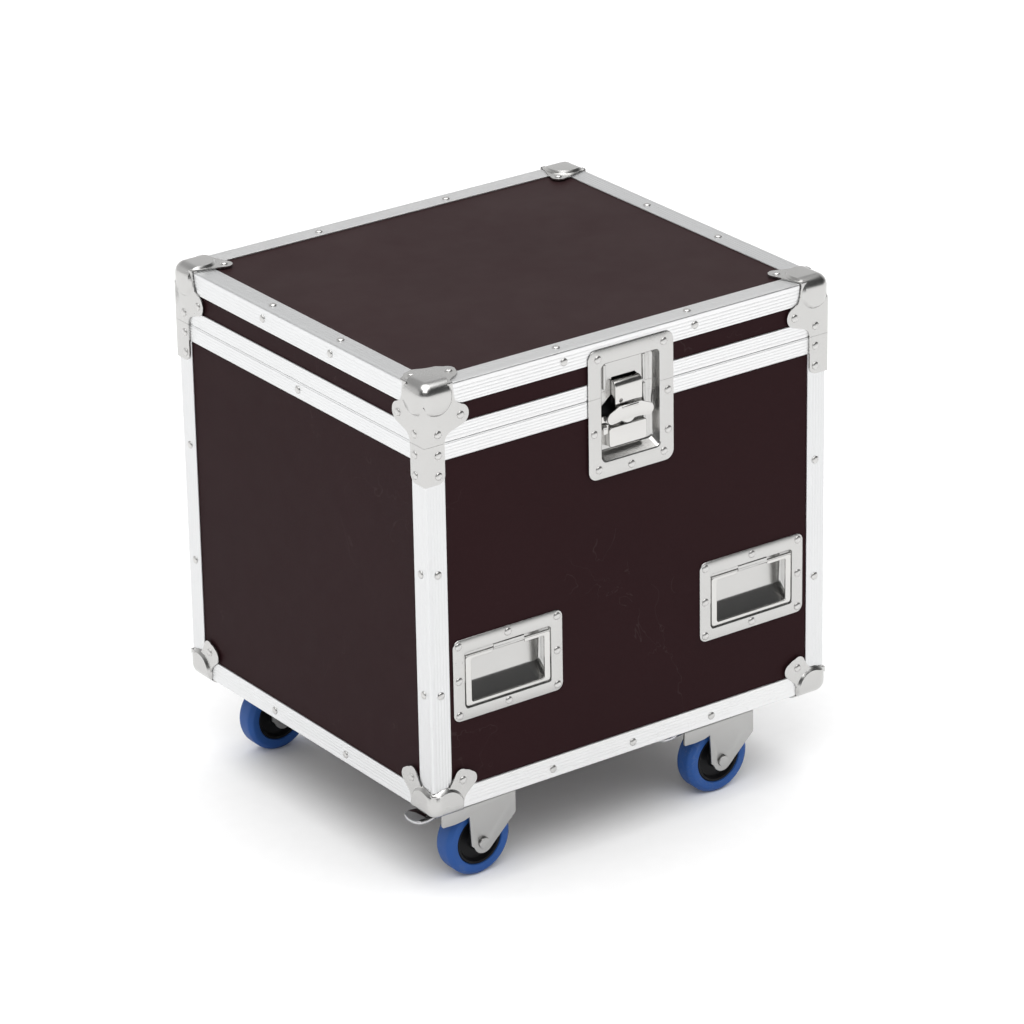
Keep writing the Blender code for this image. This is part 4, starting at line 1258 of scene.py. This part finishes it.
def make_caster_plate(name):
    x, y, height = swivel_of(name)
    plate = softened(slab(rounded((x - 0.0525, y - 0.0400), (x + 0.0525, y + 0.0400), 0.0080),
                          height - 0.0030, height, "z"),
                     0.0006, 2)
    race = turned([(0, 0.1219), (0.0272, 0.1219), (0.0268, 0.1200), (0.0242, 0.1180), (0.0240, 0.1160),
                   (0.0228, 0.1146),
                   (0.0180, 0.1140), (0, 0.1140)], (x, y, 0), "z", 48)
    parts = [plate, race]
    for sx, sy in CORNERS:
        at = (x + sx * 0.0410, y + sy * 0.0300, 0)
        parts.append(turned([(0, 0.1221), (0.0085, 0.1221), (0.0085, 0.1210), (0.0062, 0.1206),
                             (0.0058, 0.1188),
                             (0.0040, 0.1176), (0, 0.1172)], at, "z", 20))
    finished(f"swivel_plate_{name}", joined(*parts), "base", ZINC, [f"caster_plate_{name}"])


def fork_section(y, crown):
    """Arch across the fork as (y, z) points: round shoulders outside and inside."""
    foot = AXLE_HEIGHT - 0.020
    outer, inner = 0.0065, 0.0034
    points = [(-FORK_HALF, foot)]
    points += arc((-FORK_HALF + outer, crown - outer), outer, 180, 90, 6)
    points += arc((FORK_HALF - outer, crown - outer), outer, 90, 0, 6) + [(FORK_HALF, foot)]
    half, under = FORK_HALF - FORK_SHEET, crown - FORK_SHEET
    points += [(half, foot)] + arc((half - inner, under - inner), inner, 0, 90, 5)
    points += arc((-half + inner, under - inner), inner, 90, 180, 5) + [(-half, foot)]
    return [(y + a, b) for a, b in points]


def make_fork(name, braked):
    x, y, _ = swivel_of(name)
    axle = x - AXLE_BACK
    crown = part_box(f"caster_fork_{name}")[1].z
    arch = slab(fork_section(y, crown), axle - 0.080, axle + 0.070, "x")
    side = [(-0.0190, 0.0440), (-0.0188, 0.0)] + arc((0.0, 0.0), 0.0150, 195, 318, 9)
    side += [(0.0515, 0.0285), (0.0520, 0.0320), (0.0520, crown - AXLE_HEIGHT + 0.001)]
    if braked:
        side = [(-0.0640, crown - AXLE_HEIGHT + 0.001), (-0.0645, 0.0420), (-0.0630, 0.0400),
                (-0.0450, 0.0395),
                (-0.0300, 0.0410), (-0.0215, 0.0435)] + side[1:]
    else:
        side = [(-0.0190, crown - AXLE_HEIGHT + 0.001)] + side[1:]
    outline = [(axle + a, AXLE_HEIGHT + b) for a, b in side]
    fork = carve(arch, slab(outline, y - 0.040, y + 0.040, "y"), "INTERSECT")
    bore = turned([(0, -0.04), (0.0063, -0.04), (0.0063, 0.04), (0, 0.04)], (axle, y, AXLE_HEIGHT), "y", 28)
    fork = softened(carve(fork, bore), 0.0005, 2)
    king = turned([(0, crown + 0.0002), (0.0105, crown + 0.0002), (0.0105, crown - 0.0040),
                   (0.0080, crown - 0.0046),
                   (0.0080, crown - 0.0078), (0, crown - 0.0085)], (x, y, 0), "z", 24)
    fork = joined(fork, king)
    finished(f"fork_{name}", fork, f"caster_fork_{name}", ZINC, [f"caster_fork_{name}"])
    bolt = [(0, -0.0284), (0.0052, -0.0284), (0.0074, -0.0278), (0.0080, -0.0268), (0.0080, -0.0250),
            (0.0060, -0.0250)]
    bolt += [(0.0060, 0.0250), (0.0096, 0.0250), (0.0096, 0.0262), (0.0078, 0.0264), (0.0074, 0.0280),
             (0, 0.0284)]
    finished(f"axle_{name}", turned(bolt, (axle, y, AXLE_HEIGHT), "y", 36),
             f"caster_fork_{name}", ZINC)


def make_wheel(name):
    x, y, _ = swivel_of(name)
    centre = (x - AXLE_BACK, y, AXLE_HEIGHT)
    half = [(0.0062, 0.0208), (0.0105, 0.0208), (0.0118, 0.0200), (0.0128, 0.0120), (0.0150, 0.0090),
            (0.0275, 0.0085),
            (0.0296, 0.0105), (0.0306, 0.0142), (0.0330, 0.0148), (0.0341, 0.0140)]
    core = [(r, -t) for r, t in half] + [(r, t) for r, t in half[::-1]]
    finished(f"core_{name}", turned(core + core[:1], centre, "y", 72),
             f"wheel_{name}", NYLON, [f"wheel_core_{name}"])
    half = [(0.0344, 0.0142), (0.0352, 0.0156), (0.0368, 0.0160), (0.0436, 0.0160), (0.0449, 0.0156),
            (0.0457, 0.0149),
            (0.0494, 0.0112), (0.0499, 0.0100), (0.0500, 0.0050)]
    tread = [(r, -t) for r, t in half] + [(r, t) for r, t in half[::-1]]
    finished(f"tread_{name}", turned(tread + tread[:1], centre, "y", 96),
             f"wheel_{name}", RUBBER, [f"tyre_{name}"])


def make_pedal(name):
    """Pressed foot pedal: a tongue with a round tip that is bent down."""
    low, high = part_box(f"brake_pedal_{name}")
    y = (low.y + high.y) / 2
    half = (high.y - low.y) / 2
    outline = [(high.x, y - half * 0.72), (high.x, y + half * 0.72), (low.x + 0.0150, y + half)]
    outline += [(low.x + 0.0090 - 0.0090 * math.cos(math.radians(a)),
                 y + (half - 0.001) * math.sin(math.radians(a)))
                for a in (75, 50, 25, 0, -25, -50, -75)]
    outline += [(low.x + 0.0150, y - half)]
    pedal = slab(outline, low.z + 0.0012, high.z - 0.0006, "z")
    for vert in pedal.verts:
        reach = max(0.0, (low.x + 0.020 - vert.co.x) / 0.020)
        vert.co.z -= 0.0012 * reach ** 2
    pedal = softened(pedal, 0.0012, 3)
    finished(f"pedal_{name}", pedal, f"brake_pedal_{name}", CHROME, [f"brake_pedal_{name}"])


def make_casters():
    for side_x, side_y in CORNERS:
        name = corner_name(side_x, side_y)
        make_caster_plate(name)
        make_fork(name, braked=side_y < 0)
        make_wheel(name)
        if side_y < 0:
            make_pedal(name)
        print("caster", name, "swivels at", [round(v, 4) for v in swivel_of(name)])


make_casters()
